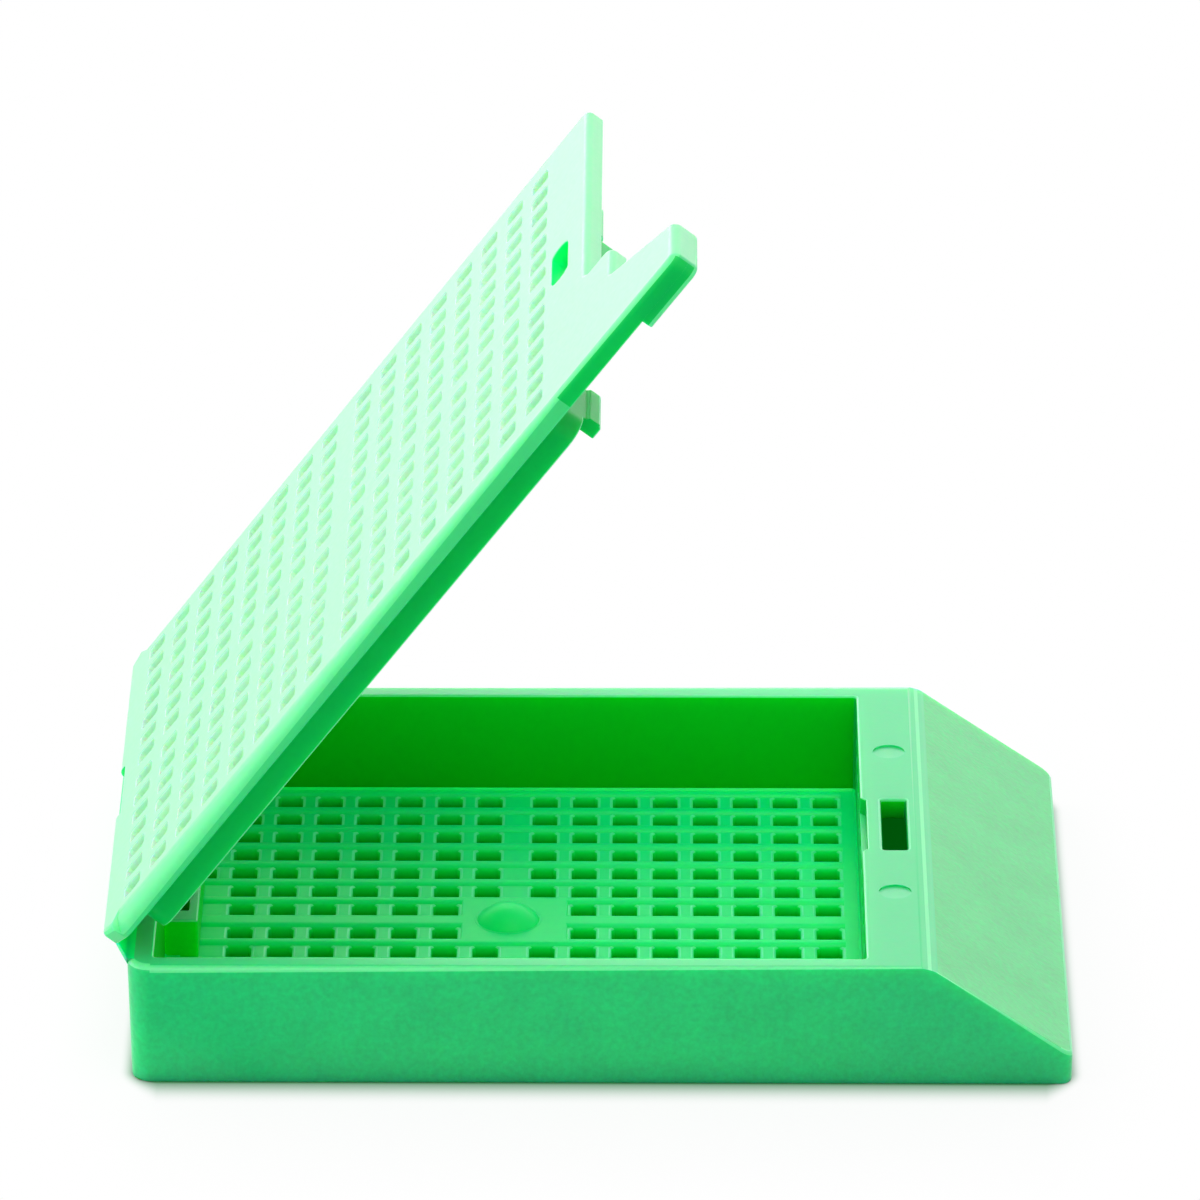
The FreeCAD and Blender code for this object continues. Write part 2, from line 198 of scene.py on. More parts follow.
THUMB_PAD_INSET = 0.003
REAR_CORNER_CUT = 0.95
FRONT_ROUNDING = 0.3
TIP_ROUNDING = 0.41
TIP_START = 1.0  # from the tab's shoulder to where the tip's rounding holds
SIDE_BAND = 0.2  # points this close to the lid's side belong to it
BEVEL_START = 0.3
BEVEL_END = WELL_FRONT
BEVEL_FADE = 0.3
BEVEL_WIDTH = 1.1
BEVEL_DEPTH = 0.8
FILM_WAIST = 21.8
FILM_WINDOW_WIDTH = 4.9
FILM_WINDOW_LENGTH = 1.23
BEND_STEPS = 10
RING_X = HINGE.x + 34.9
RING_Y = -10.6
RING_RADIUS = 1.73
RING_DEPTH = 0.05
RING_WIDTH = 0.12

CLAW_SIDE_CLEARANCE = 0.67
CLAW_FRONT_CLEARANCE = 0.25
CLAW_WALL_CLEARANCE = 0.13
CLAW_CATCH_CLEARANCE = 0.25
CLAW_BITE = 0.59
CLAW_BARB = (0.3, 0.3, (0.32, 0.45), (0.7, 0.8))  # slope, face, lead-in and heel cut
HOOK_SIDE_CLEARANCE = 0.85
HOOK_FRONT_CLEARANCE = 0.25
HOOK_REAR_CLEARANCE = 0.1
HOOK_CATCH_CLEARANCE = 0.05
HOOK_SHANK = 0.45
HOOK_BARB = (0.2, 0.25, (0.2, 0.45), (0.3, 0.4))
HOOK_HALF = FRONT_SLOT_WIDTH / 2 - HOOK_SIDE_CLEARANCE
HOOK_HIGH_X = FRONT_SLOT_END - HOOK_FRONT_CLEARANCE
HOOK_SHANK_X = HOOK_HIGH_X - HOOK_SHANK
HOOK_WINDOW_MARGIN = 0.05
HOOK_WINDOW_GAP = 0.35
HOOK_WINDOW_LENGTH = 1.1
HOOK_WINDOW_CORNER = 0.46

# How faces are told apart: how much of a normal points along an axis, then distances in millimetres
SLIGHTLY = 0.2
PARTLY = 0.5
MOSTLY = 0.6
MAINLY = 0.8
NEARLY = 0.95
LEVEL_BELOW = 0.97  # on what hangs from the lid
LEVEL = 0.985
RIDGE_SHINE = (0.22, 0.36)  # the part of the ridge's rounding that is drawn pale, a painted highlight
AT = 0.02  # counts as the same place
NEAR = 0.1
EDGE_BAND = 0.5  # beside the lid's edges and the film's root
OUTER_BAND = 0.3  # beside the tray's outer faces
RIM_BAND = 1.2 * RIM_ROUNDING

# Finish and light
GREEN = (0.008, 0.62, 0.21)  # linear
# darker copy of the plastic colour on the label face: painted shade that tones down how bright the lamps make
# it
LABEL_PAINTED_SHADE_GREEN = (0.008, 0.6, 0.15)
# brighter, purer copy of the plastic colour: painted light standing in for light coming through the
# translucent lid and floor; also used on the film, the rim by its root and walls through the lid's front
FLOOR_PAINTED_LIGHT_GREEN = (0.002, 0.97, 0.21)
# bright copy of the plastic colour on the tray's hole walls: painted light
HOLE_PAINTED_LIGHT_GREEN = (0.002, 0.97, 0.18)
HOLE_PAINTED_SHADE = ((0.0005, 0.6, 0.01), 0.3, FLOOR - 0.15)  # painted shade, darker deeper in the holes: colour, and the heights it fades between
# deep, pure green on the well's walls: painted bounce light standing in for green light passed between and
# through the walls
WALL_PAINTED_BOUNCE_GREEN = (0.0015, 0.62, 0.016)
# painted shade: the walls darken towards the floor
WALL_PAINTED_SHADE = ((0.001, 0.48, 0.004), FLOOR, HEIGHT)
# darker copy of the plastic colour: painted shade on the lip, the catches, the tab's side, the well's front
# wall and walls across the flange
SHADE_GREEN = (0.003, 0.52, 0.11)
# bright copy of the plastic colour on the well's walls beside the bracket: painted light
VIVID_PAINTED_LIGHT_GREEN = (0.001, 0.95, 0.03)
# paler copy of the plastic colour on rounded edges: painted highlight
EDGE_PAINTED_HIGHLIGHT_GREEN = (0.13, 0.8, 0.33)
# paler copy of the floor colour on the crossbars' rounded edges: painted highlight
BAR_EDGE_PAINTED_HIGHLIGHT_GREEN = (0.03, 0.97, 0.28)
# near-white copy of the plastic colour on the walls inside the lid's holes: painted light, the glare of light
# coming through them
PALE_PAINTED_LIGHT_GREEN = (0.62, 0.82, 0.66)
SCATTER = (0.12, 1.5, 0.4)  # how far light spreads inside, in millimetres
FLOOR_PAINTED_GLOW = (0.0, 0.045, 0.01)  # painted glow: emission that stands in for light reaching a surface through the thin floor
# painted glow inside the tray's holes
HOLE_PAINTED_GLOW = (0.0, 0.03, 0.002)
# painted glow on the crossbars' rounded edges
BAR_EDGE_PAINTED_GLOW = (0.02, 0.1, 0.045)
DARK = (0.0, 0.0, 0.0)
POLISHED = (0.000002, 0.03)  # depth of the grain in metres, and how much it mottles the colour
GRAIN = (0.00002, 0.14)
LABEL_GRAIN = (0.000022, 0.15)
CLOUD_NOISE = {"Scale": 420.0, "Detail": 3.0, "Roughness": 0.55}
FINE_NOISE = {"Scale": 3600.0, "Detail": 2.5, "Roughness": 0.6}
NOISE_RANGE = (0.3, 0.7)
CLOUD_SHARE = 0.4
ROUGHNESS = 0.4
ROUGHNESS_SPREAD = 0.08
SHEEN_ROUGHNESS = 0.3
REFRACTION = 1.48
WHITE = (1.0, 1.0, 1.0)
WORLD_STRENGTH = 0.49
SOFTBOXES = (  # name, place and aim in metres, width, height, power in watts
    ("back softbox", (0.0, 0.5, 0.2), (0, 0, 0.01), 0.9, 0.36, 1.6),
    ("back left softbox", (-0.26, 0.46, 0.08), (0, 0, 0.02), 0.3, 0.14, 0.5),
    ("left softbox", (-0.5, 0.06, 0.15), (0, 0, 0.01), 0.7, 0.26, 1.4),
    ("key softbox", (0.02, -0.14, 0.52), (0, 0, 0.01), 0.3, 0.3, 1.22),
)
FLOOR_REACH = 2.0  # metres from the middle to each side
FLOOR_WHITE = (0.9, 0.9, 0.9)
FLOOR_GLOW = 0.88
UNDER_TRAY_PAINTED_GLOW = 0.14  # painted glow of the floor under the tray, tinted by the plastic; the floor's glow past the edge rises from it
# colour of the painted glow under the tray
PAINTED_GLOW_TINT = (0.0, 0.6, 0.02)
FLOOR_PAINTED_SHADOW = (0.04, 0.28, 0.11)  # painted shadow: the floor's matt colour, dark and tinted green, right at the tray's edge
END_SHADE = 3.0  # how much thinner the shadow, real and painted, is past the ends than along the sides
FLOOR_RAMP = 0.0021  # metres from the tray's edge to where the floor turns pale and the painted shadow ends
FLOOR_FADE = 0.015  # metres from the tray's edge to where it is plain white

# Camera
LENS = 314.0
CAMERA_CLIP = (0.01, 10.0)
CAMERA_AIM = Vector((0, 0, 0.0025))
CAMERA_DISTANCE = 0.46  # metres
CAMERA_BEARING = 0.3  # degrees from the front
CAMERA_HEIGHT = 25.95  # degrees above the floor
CAMERA_TURN = 0.02  # degrees that it looks beside its aim
CAMERA_TILT_BACK = 1.57  # degrees that it looks above its aim

# Shared by several shapes
EDGE = 0.06  # small rounding on catches and narrow cuts
THIN_EDGE = 0.05  # rounding of thin edges
SOFT_EDGE = 0.1  # rounding of the well and of the windows
ARC_MIDDLE = 0.3  # where the middle of a rounding lies, as part of its radius
PAST = 1.0  # cutting shapes reach this far past what they cut
FLAT = 1e-4  # points closer than this lie in one place
SKIN = 1e-3  # sides that would fall together are kept this far apart
ON_TOP = 1e-3  # how close to the upper side a point counts as on it
SHARP = 32  # degrees between faces from which their edge is drawn sharp
CORNER = 20  # degrees between faces from which their edge is a corner to round


# -------- node trees

class Wire:
    """A socket in a node tree; arithmetic on it adds Math nodes."""

    def __init__(self, tree, socket=None):
        self.tree = tree
        self.socket = socket

    def node(self, kind, settings=None, sockets=None, output=0):
        """Add a node, set its settings and then its sockets, and return one of its outputs."""
        node = self.tree.nodes.new(kind)
        for name, value in (settings or {}).items():
            setattr(node, name, value)
        for name, value in (sockets or {}).items():
            if isinstance(value, Wire):
                self.tree.links.new(value.socket, node.inputs[name])
            else:
                node.inputs[name].default_value = value
        return Wire(self.tree, node.outputs[output] if node.outputs else None)

    def math(self, operation, *others):
        values = dict(enumerate((self, *others)))
        return self.node("ShaderNodeMath", {"operation": operation}, values)

    def __add__(self, other):
        return self.math("ADD", other)

    __radd__ = __add__

    def __mul__(self, other):
        return self.math("MULTIPLY", other)

    __rmul__ = __mul__

    def __sub__(self, other):
        return self.math("SUBTRACT", other)

    def __rsub__(self, other):
        return self.node("ShaderNodeMath", {"operation": "SUBTRACT"}, {0: other, 1: self})

    def __lt__(self, other):
        return self.math("LESS_THAN", other)

    def __gt__(self, other):
        """Also the reflected form of <."""
        return self.math("GREATER_THAN", other)

    def __abs__(self):
        return self.math("ABSOLUTE")


def axis(place, index):
    """One coordinate of a position."""
    return place.node("ShaderNodeSeparateXYZ", None, {0: place}, index)


def ramp(value, low, high, top=1.0, kind="LINEAR"):
    """Number that rises from 0 to top as the value goes from low to high."""
    return value.node("ShaderNodeMapRange", {"interpolation_type": kind}, {
        "Value": value, "From Min": low, "From Max": high, "To Max": top,
    })


def fade(share, start, end):
    """Colour that goes from start to end as the share goes from 0 to 1."""
    start, end = (colour if isinstance(colour, Wire) else (*colour, 1.0) for colour in (start, end))
    return share.node("ShaderNodeMix", {"data_type": "RGBA"}, {0: share, 6: start, 7: end}, 2)


def empty_tree(owner):
    """The cleared node tree of a material or of the world."""
    owner.use_nodes = True
    owner.node_tree.nodes.clear()
    return Wire(owner.node_tree)


def seen_rays(graph):
    """1 for rays that show a thing itself: from the camera, mirrored or passed through."""
    camera_ray, glossy, passing = (
        graph.node("ShaderNodeLightPath", None, None, f"Is {kind} Ray")
        for kind in ("Camera", "Glossy", "Transmission")
    )
    return camera_ray.math("MAXIMUM", glossy).math("MAXIMUM", passing)


# -------- plain meshes

def new_piece(name, vertices, faces):
    """Mesh object from plain lists."""
    mesh = bpy.data.meshes.new(name)
    mesh.from_pydata([tuple(v) for v in vertices], [], faces)
    piece = bpy.data.objects.new(name, mesh)
    bpy.context.scene.collection.objects.link(piece)
    return piece


def applied(piece):
    """Replace the piece's mesh by what its modifiers make of it."""
    depsgraph = bpy.context.evaluated_depsgraph_get()
    mesh = bpy.data.meshes.new_from_object(piece.evaluated_get(depsgraph), depsgraph=depsgraph)
    piece.modifiers.clear()
    piece.data = mesh
    return piece


@contextmanager
def editing(piece):
    """The piece's mesh, open for editing and written back at the end."""
    mesh = bmesh.new()
    mesh.from_mesh(piece.data)
    yield mesh
    mesh.to_mesh(piece.data)
    mesh.free()


def combine(body, tools, operation):
    """Join closed shapes to the body, or cut them from it, one after the other."""
    for tool in tools:
        modifier = body.modifiers.new("combine", "BOOLEAN")
        modifier.solver = "MANIFOLD"
        modifier.operation = operation
        modifier.object = tool
        applied(body)
        bpy.data.objects.remove(tool)
    return body


def add(body, *tools):
    return combine(body, tools, "UNION")


def cut(body, *tools):
    return combine(body, tools, "DIFFERENCE")


def bevel(mesh, width, segments, wanted, clamp=True):
    """Round the edges for which wanted(edge) is true."""
    bmesh.ops.bevel(
        mesh, geom=[edge for edge in mesh.edges if wanted(edge)],
        offset=width, offset_type="OFFSET", segments=segments,
        profile=0.5, affect="EDGES", clamp_overlap=clamp,
    )


def weld(piece):
    """Merge the points that cutting has left on top of each other."""
    with editing(piece) as mesh:
        bmesh.ops.remove_doubles(mesh, verts=mesh.verts, dist=FLAT)


def is_corner(edge):
    """True for an edge where two faces meet at a corner."""
    return edge.is_manifold and edge.calc_face_angle(0) > math.radians(CORNER)


def outline(corners, steps=6):
    """Points of a closed outline; each corner is (x, y, radius of its rounding)."""
    points = []
    for index, (x, y, radius) in enumerate(corners):
        here = Vector((x, y))
        if radius == 0:
            points.append(here)
            continue
        before = Vector(corners[index - 1][:2]) - here
        after = Vector(corners[(index + 1) % len(corners)][:2]) - here
        before.normalize()
        after.normalize()
        half_angle = before.angle(after) / 2
        middle = here + (before + after).normalized() * (radius / math.sin(half_angle))
        start = here + before * (radius / math.tan(half_angle)) - middle
        end = here + after * (radius / math.tan(half_angle)) - middle
        turn = start.angle_signed(end)
        for step in range(steps + 1):
            arm = start.copy()
            arm.rotate(Matrix.Rotation(-turn * step / steps, 2))
            points.append(middle + arm)
    return points


def inset_directions(points):
    """Inward step at each point that moves both neighbouring edges inwards by 1."""
    steps = []
    for index, here in enumerate(points):
        before = (here - points[index - 1]).normalized()
        after = (points[(index + 1) % len(points)] - here).normalized()
        left_before = Vector((-before.y, before.x))
        left_after = Vector((-after.y, after.x))
        both = left_before + left_after
        steps.append(both * (2 / both.length_squared))
    return steps


def inset_rings(points, profile):
    """The outline once for each (inset, z) of the profile, moved inwards and placed at its height."""
    steps = inset_directions(points)
    return [
        [(*(point + step * inset), z) for point, step in zip(points, steps)]
        for inset, z in profile
    ]


def loft(name, rings, closed=False):
    """Solid through rings of equal length, lowest first; closed joins the last ring to the first."""
    count = len(rings[0])
    vertices = [point for ring in rings for point in ring]
    faces = []
    for low in range(len(rings) if closed else len(rings) - 1):
        high = (low + 1) % len(rings)
        for index in range(count):
            following = (index + 1) % count
            faces.append(
                (low * count + index, low * count + following,
                 high * count + following, high * count + index)
            )
    if not closed:
        faces.append(tuple(reversed(range(count))))
        faces.append(tuple(range((len(rings) - 1) * count, len(rings) * count)))
    return new_piece(name, vertices, faces)


def rectangle(low_x, high_x, half_width, low_radius, high_radius):
    """Corners of a rectangle across the middle plane."""
    return [
        (low_x, -half_width, low_radius),
        (high_x, -half_width, high_radius),
        (high_x, half_width, high_radius),
        (low_x, half_width, low_radius),
    ]


def plate(name, points, profile):
    """Solid over an outline; profile lists (inset, z) from the bottom edge to the top edge."""
    return loft(name, inset_rings(points, profile))


def quarter_turn(steps):
    """(fall, rise) along a rounded edge: fall goes from 1 to 0 while rise goes from 0 to 1."""
    angles = [math.pi / 2 * step / steps for step in range(steps + 1)]
    return [(1 - math.sin(angle), 1 - math.cos(angle)) for angle in angles]


def circle(steps=40):
    """Points of a circle of radius 1."""
    angles = [step * math.tau / steps for step in range(steps)]
    return [(math.cos(angle), math.sin(angle)) for angle in angles]


def rounded_profile(z_low, z_high, low_rounding, high_rounding):
    """(inset, z) profile of an upright edge with both its ends rounded outwards."""
    arc = quarter_turn(3)
    low = [(low_rounding * fall, z_low + low_rounding * rise) for fall, rise in arc]
    high = [(high_rounding * rise, z_high - high_rounding * fall) for fall, rise in arc]
    return low + high


def flared_profile(z_low, z_mouth, rounding):
    """(inset, z) profile of a cutter whose mouth at z_mouth widens, so that it leaves a rounded edge."""
    mouth = [(-rounding * rise, z_mouth - rounding * fall) for fall, rise in quarter_turn(3)]
    return [(0.0, z_low), *mouth, (-rounding, z_mouth + PAST)]


def through_profile(z_low, z_high, rounding):
    """(inset, z) profile of a cutter that leaves both mouths of its opening rounded."""
    arc = quarter_turn(2)
    low = [(-rounding * fall, z_low + rounding * rise) for fall, rise in arc]
    high = [(-rounding * rise, z_high - rounding * fall) for fall, rise in arc]
    return [(-rounding, z_low - PAST), *low, *high, (-rounding, z_high + PAST)]


def prism(name, section, y_low, y_high, rounding=EDGE):
    """Bar of constant (x, z) section along Y, with its edges rounded."""
    count = len(section)
    vertices = [(x, y_low, z) for x, z in section] + [(x, y_high, z) for x, z in section]
    faces = [tuple(range(count)), tuple(reversed(range(count, 2 * count)))]
    for index in range(count):
        following = (index + 1) % count
        faces.append((index, index + count, following + count, following))
    piece = new_piece(name, vertices, faces)
    with editing(piece) as mesh:
        bmesh.ops.recalc_face_normals(mesh, faces=mesh.faces)
        if rounding:
            bevel(mesh, rounding, 2, is_corner)
    return piece


def block(name, low, high, rounding=0.0):
    """Box between two corners."""
    section = [(low[0], low[2]), (high[0], low[2]), (high[0], high[2]), (low[0], high[2])]
    return prism(name, section, low[1], high[1], rounding)


# -------- repeated cutters

def row_tree():
    """Geometry Nodes: one cutter at each place of a grid whose two middle bars are wider."""
    tree = bpy.data.node_groups.new("cutter rows", "GeometryNodeTree")
    tree.interface.new_socket("Geometry", in_out="OUTPUT", socket_type="NodeSocketGeometry")
    for name, kind in (
        ("Cutter", "Object"), ("Rows", "Int"), ("Columns", "Int"),
        ("Row Pitch", "Float"), ("Column Pitch", "Float"),
        ("Crossbar Extra", "Float"), ("Rib Extra", "Float"),
        ("Pad Reach", "Float"), ("Bracket Reach", "Float"), ("Finish", "Material"),
    ):
        tree.interface.new_socket(name, in_out="INPUT", socket_type=f"NodeSocket{kind}")
    graph = Wire(tree)
    inlets = graph.node("NodeGroupInput").socket.node.outputs

    def given(name):
        return Wire(tree, inlets[name])

    grid = graph.node("GeometryNodeMeshGrid", None, {
        "Size X": (given("Rows") - 1) * given("Row Pitch"),
        "Size Y": (given("Columns") - 1) * given("Column Pitch"),
        "Vertices X": given("Rows"), "Vertices Y": given("Columns"),
    })
    place = graph.node("GeometryNodeInputPosition")
    x, y = axis(place, 0), axis(place, 1)
    in_pad = (abs(x) < given("Pad Reach")) * (abs(y) < given("Pad Reach"))
    before_second_row = (2 - given("Rows")) * given("Row Pitch") * 0.5
    in_bracket = (x < before_second_row) * (abs(y) < given("Bracket Reach"))
    chosen = graph.node("GeometryNodeSeparateGeometry", None, {
        "Geometry": grid, "Selection": (in_pad + in_bracket) < 0.5,
    })
    apart = graph.node("ShaderNodeCombineXYZ", None, {
        "X": x + x.math("SIGN") * given("Crossbar Extra") * 0.5,
        "Y": y + y.math("SIGN") * given("Rib Extra") * 0.5,
    })
    spread = graph.node("GeometryNodeSetPosition", None, {"Geometry": chosen, "Position": apart})
    cutter = graph.node("GeometryNodeObjectInfo", None, {"Object": given("Cutter")}, "Geometry")
    copies = graph.node("GeometryNodeInstanceOnPoints", None, {"Points": spread, "Instance": cutter})
    real = graph.node("GeometryNodeRealizeInstances", None, {0: copies})
    finished = graph.node("GeometryNodeSetMaterial", None, {"Geometry": real, "Material": given("Finish")})
    graph.node("NodeGroupOutput", None, {0: finished})
    return tree


def rows_of(cutter, tree, finish, rows, x_middle, crossbar=BAR, pad_reach=0.0, bracket_reach=0.0):
    """The cutter repeated over the columns of holes, as one object; the cutter itself goes."""
    copies = new_piece("copies", [], [])
    modifier = copies.modifiers.new("rows", "NODES")
    modifier.node_group = tree
    values = {
        "Cutter": cutter, "Rows": rows, "Columns": COLUMNS,
        "Row Pitch": HOLE + crossbar, "Column Pitch": HOLE + BAR,
        "Crossbar Extra": MIDDLE_CROSSBAR - crossbar, "Rib Extra": MIDDLE_RIB - BAR,
        "Pad Reach": pad_reach, "Bracket Reach": bracket_reach, "Finish": finish,
    }
    for item in tree.interface.items_tree:
        if item.in_out == "INPUT":
            modifier[item.identifier] = values[item.name]
    applied(copies)
    bpy.data.objects.remove(cutter)
    copies.data.transform(Matrix.Translation((x_middle, 0, 0)))
    return copies


def shoulder_y(depth):
    """How far from its hole a rib's rounded shoulder is, at a depth below the rib's top."""
    fall = 1 - min(depth / RIB_SHOULDER_HEIGHT, 1)
    return RIB_SHOULDER * (1 - math.sqrt(1 - fall ** 2))


def hole_cutter(plain_z, bar_z, rib_z):
    """Cutter for one hole: small rounding at its plain mouth, wide rounding at the ribbed mouth."""
    up = 1 if rib_z > plain_z else -1
    half = HOLE / 2
    sizes = [(half + MOUTH_ROUNDING, half + MOUTH_ROUNDING, plain_z - up * PAST)]
    for fall, rise in quarter_turn(2):
        flare = MOUTH_ROUNDING * fall
        sizes.append((half + flare, half + flare, plain_z + up * MOUTH_ROUNDING * rise))
    for fall, rise in quarter_turn(3):
        z = bar_z - up * BAR_ROUNDING * fall
        sizes.append((half + BAR_ROUNDING * rise, half + shoulder_y(abs(rib_z - z)), z))
    sizes.append((*sizes[-1][:2], bar_z + up * PAST))
    rings = []
    for half_x, half_y, z in sorted(sizes, key=lambda size: size[2]):
        corners = rectangle(-half_x, half_x, half_y, HOLE_CORNER, HOLE_CORNER)
        rings.append([(*point, z) for point in outline(corners, steps=1)])
    return loft("hole", rings)


def channel_cutter(bar_z, rib_z, crossbar):
    """Cutter along one column of holes that lowers its crossbars and rounds the ribs beside it."""
    up = 1 if rib_z > bar_z else -1
    shoulder = []
    for step in range(SHOULDER_STEPS + 1):
        depth = abs(rib_z - bar_z) * (1 - step / SHOULDER_STEPS) ** 2
        shoulder.append((HOLE / 2 + shoulder_y(depth), rib_z - up * depth))
    shoulder.append((HOLE / 2 + RIB_SHOULDER, rib_z + up * PAST))
    section = shoulder + [(-y, z) for y, z in reversed(shoulder)]
    length = (ROWS - 1) / 2 * (HOLE + crossbar) + (MIDDLE_CROSSBAR - crossbar) / 2 + HOLE / 2
    length += CHANNEL_RUN_OUT
    cutter = prism("channel", section, -length, length, 0)
    cutter.data.transform(Matrix.Rotation(math.pi / 2, 4, "Z"))
    return cutter


# -------- tray

def top_z(x):
    """Height of the tray's upper side: level as far as the ridge, then falling along the label face."""
    return min(HEIGHT, HEIGHT - (x - RIDGE) * (HEIGHT - TOE_HEIGHT) / LABEL_RUN)


def tray_shell():
    """Solid block with leaning walls, sloping label face and rounded upper edges."""
    corners = rectangle(REAR, TOE, HALF_WIDTH, REAR_CORNER, TOE_CORNER)
    profile = []
    for fall, rise in quarter_turn(3):
        z = FOOT_ROUNDING * rise
        profile.append((DRAFT * (1 - z / HEIGHT) + FOOT_ROUNDING * fall, z))
    profile.append((0.0, HEIGHT))
    shell = plate("tray", outline(corners), profile)

    def on_top(vertex):
        return abs(vertex.co.z - top_z(vertex.co.x)) < ON_TOP

    def along(edge, low_x, high_x):
        middle = (edge.verts[0].co.x + edge.verts[1].co.x) / 2
        return is_corner(edge) and all(on_top(v) for v in edge.verts) and low_x < middle < high_x

    with editing(shell) as mesh:
        bmesh.ops.bisect_plane(
            mesh, geom=mesh.verts[:] + mesh.edges[:] + mesh.faces[:],
            plane_co=(RIDGE, 0, HEIGHT), plane_no=(HEIGHT - TOE_HEIGHT, 0, LABEL_RUN), clear_outer=True,
        )
        bmesh.ops.holes_fill(mesh, edges=[edge for edge in mesh.edges if edge.is_boundary])
        bmesh.ops.recalc_face_normals(mesh, faces=mesh.faces)
        for low_x, high_x, offset, steps in (
            (RIDGE - FLAT, RIDGE + FLAT, RIDGE_ROUNDING, 5),
            (-TOE - PAST, RIDGE - RIDGE_ROUNDING / 2, RIM_ROUNDING, 4),
            (RIDGE - RIDGE_ROUNDING / 2, TOE + PAST, LABEL_ROUNDING, 3),
        ):
            bevel(mesh, offset, steps, lambda edge: along(edge, low_x, high_x), clamp=False)
    return shell


def well_cutter():
    corners = rectangle(WELL_REAR, WELL_FRONT, WELL_HALF, WELL_CORNER, WELL_CORNER)
    profile = [(SOFT_EDGE, FLOOR)] + flared_profile(FLOOR + SOFT_EDGE, HEIGHT, SOFT_EDGE)
    return plate("well", outline(corners), profile)


def label_hollow():
    """Space under the flange and the label face."""
    slope = (HEIGHT - TOE_HEIGHT) / LABEL_RUN
    drop = LABEL_THICKNESS * math.hypot(1, slope)
    low_x = WELL_FRONT + FRONT_WALL
    high_x = TOE - TOE_WALL
    bend_x = RIDGE + (HEIGHT - drop - FLANGE_UNDERSIDE) / slope
    toe_z = HEIGHT - drop - slope * (high_x - RIDGE)
    section = [
        (low_x, -PAST), (high_x, -PAST), (high_x, toe_z),
        (bend_x, FLANGE_UNDERSIDE), (low_x, FLANGE_UNDERSIDE),
    ]
    return prism("hollow", section, -WELL_HALF, WELL_HALF, HOLLOW_ROUNDING)


def centre_pad():
    """Plain pad in the middle of the floor, with its dome."""
    half_x = MIDDLE_CROSSBAR / 2 + HOLE + PAD_BORDER
    half_y = MIDDLE_RIB / 2 + HOLE + PAD_BORDER
    corners = rectangle(-half_x, half_x, half_y, PAD_CORNER, PAD_CORNER)
    pad = plate("pad", outline(corners, 3), rounded_profile(PAD_ROOT, FLOOR, 0.0, PAD_ROUNDING))
    reach = DOME_RADIUS + DOME_SKIRT
    sphere = (DOME_RADIUS ** 2 + DOME_HEIGHT ** 2) / (2 * DOME_HEIGHT)
    profile = [(DOME_SKIRT, DOME_ROOT), (0.0, FLOOR - SKIN), DOME_SKIRT_EDGE]
    for step in range(1, DOME_STEPS):
        radius = DOME_RADIUS * math.cos(math.pi / 2 * step / DOME_STEPS)
        z = FLOOR + DOME_HEIGHT - sphere + math.sqrt(sphere ** 2 - radius ** 2)
        profile.append((reach - radius, z))
    dome = plate("dome", [Vector(spot) * reach for spot in circle()], profile)
    dome.data.transform(Matrix.Translation((DOME_SHIFT, 0, 0)))
    add(pad, dome)
    pad.data.transform(Matrix.Translation((TRAY_GRID_X, 0, 0)))
    return pad


def rear_bracket():
    """Low block on the rear wall around the rear slot."""
    corners = rectangle(WELL_REAR - BRACKET_ROOT, BRACKET_FRONT, BRACKET_WIDTH / 2, 0, BRACKET_CORNER)
    return plate("bracket", outline(corners, 3), rounded_profile(PAD_ROOT, BRACKET_TOP, 0.0, PAD_ROUNDING))


def slot_plate(name, low_x, high_x, half_width, z_low, z_high, corner, rounding):
    """Cutter for a straight slot with both mouths rounded."""
    corners = rectangle(low_x, high_x, half_width, corner, corner)
    return plate(name, outline(corners, 3), through_profile(z_low, z_high, rounding))


def finger_notch():
    corners = [
        (WELL_FRONT - PAST, -NOTCH_WIDTH / 2, 0),
        (WELL_FRONT, -NOTCH_WIDTH / 2, 0),
        (WELL_FRONT + NOTCH_LENGTH, -NOTCH_NARROW / 2, SOFT_EDGE),
        (WELL_FRONT + NOTCH_LENGTH, NOTCH_NARROW / 2, SOFT_EDGE),
        (WELL_FRONT, NOTCH_WIDTH / 2, 0),
        (WELL_FRONT - PAST, NOTCH_WIDTH / 2, 0),
    ]
    return plate("notch", outline(corners, 3), flared_profile(HEIGHT - NOTCH_DEPTH, HEIGHT, EDGE))


def ejector_mark(y):
    """Round cutter in the flange with a tilted floor, deepest at its +Y side."""
    x = WELL_FRONT + FLANGE / 2
    floor = []
    mouth = []
    for along, across in circle():
        spot = (x + MARK_RADIUS * along, y + MARK_RADIUS * across)
        floor.append((*spot, HEIGHT - MARK_DEPTH * (1 - MARK_TILT + MARK_TILT * across)))
        mouth.append((*spot, HEIGHT + PAST))
    return loft("mark", [floor, mouth])


def rear_recess():
    """Cutter for the rear slot and the recess under the catch in the rear wall."""
    half = REAR_SLOT_WIDTH / 2
    recess = block(
        "recess", (WELL_REAR - RECESS_DEPTH, -half, -PAST),
        (WELL_REAR + RECESS_OVERLAP, half, HEIGHT - CATCH_HEIGHT), THIN_EDGE,
    )
    slot = slot_plate("slot", WELL_REAR, REAR_SLOT_END, half, 0.0, BRACKET_TOP, REAR_SLOT_CORNER, EDGE)
    return add(recess, slot)


def film_root():
    """Square-edged strip that carries the hinge film into the rounded rear rim."""
    low = (REAR, -FILM_HALF_WIDTH, film_low.z)
    high = (REAR + 2 * RIM_ROUNDING, FILM_HALF_WIDTH, HEIGHT)
    return block("root", low, high)


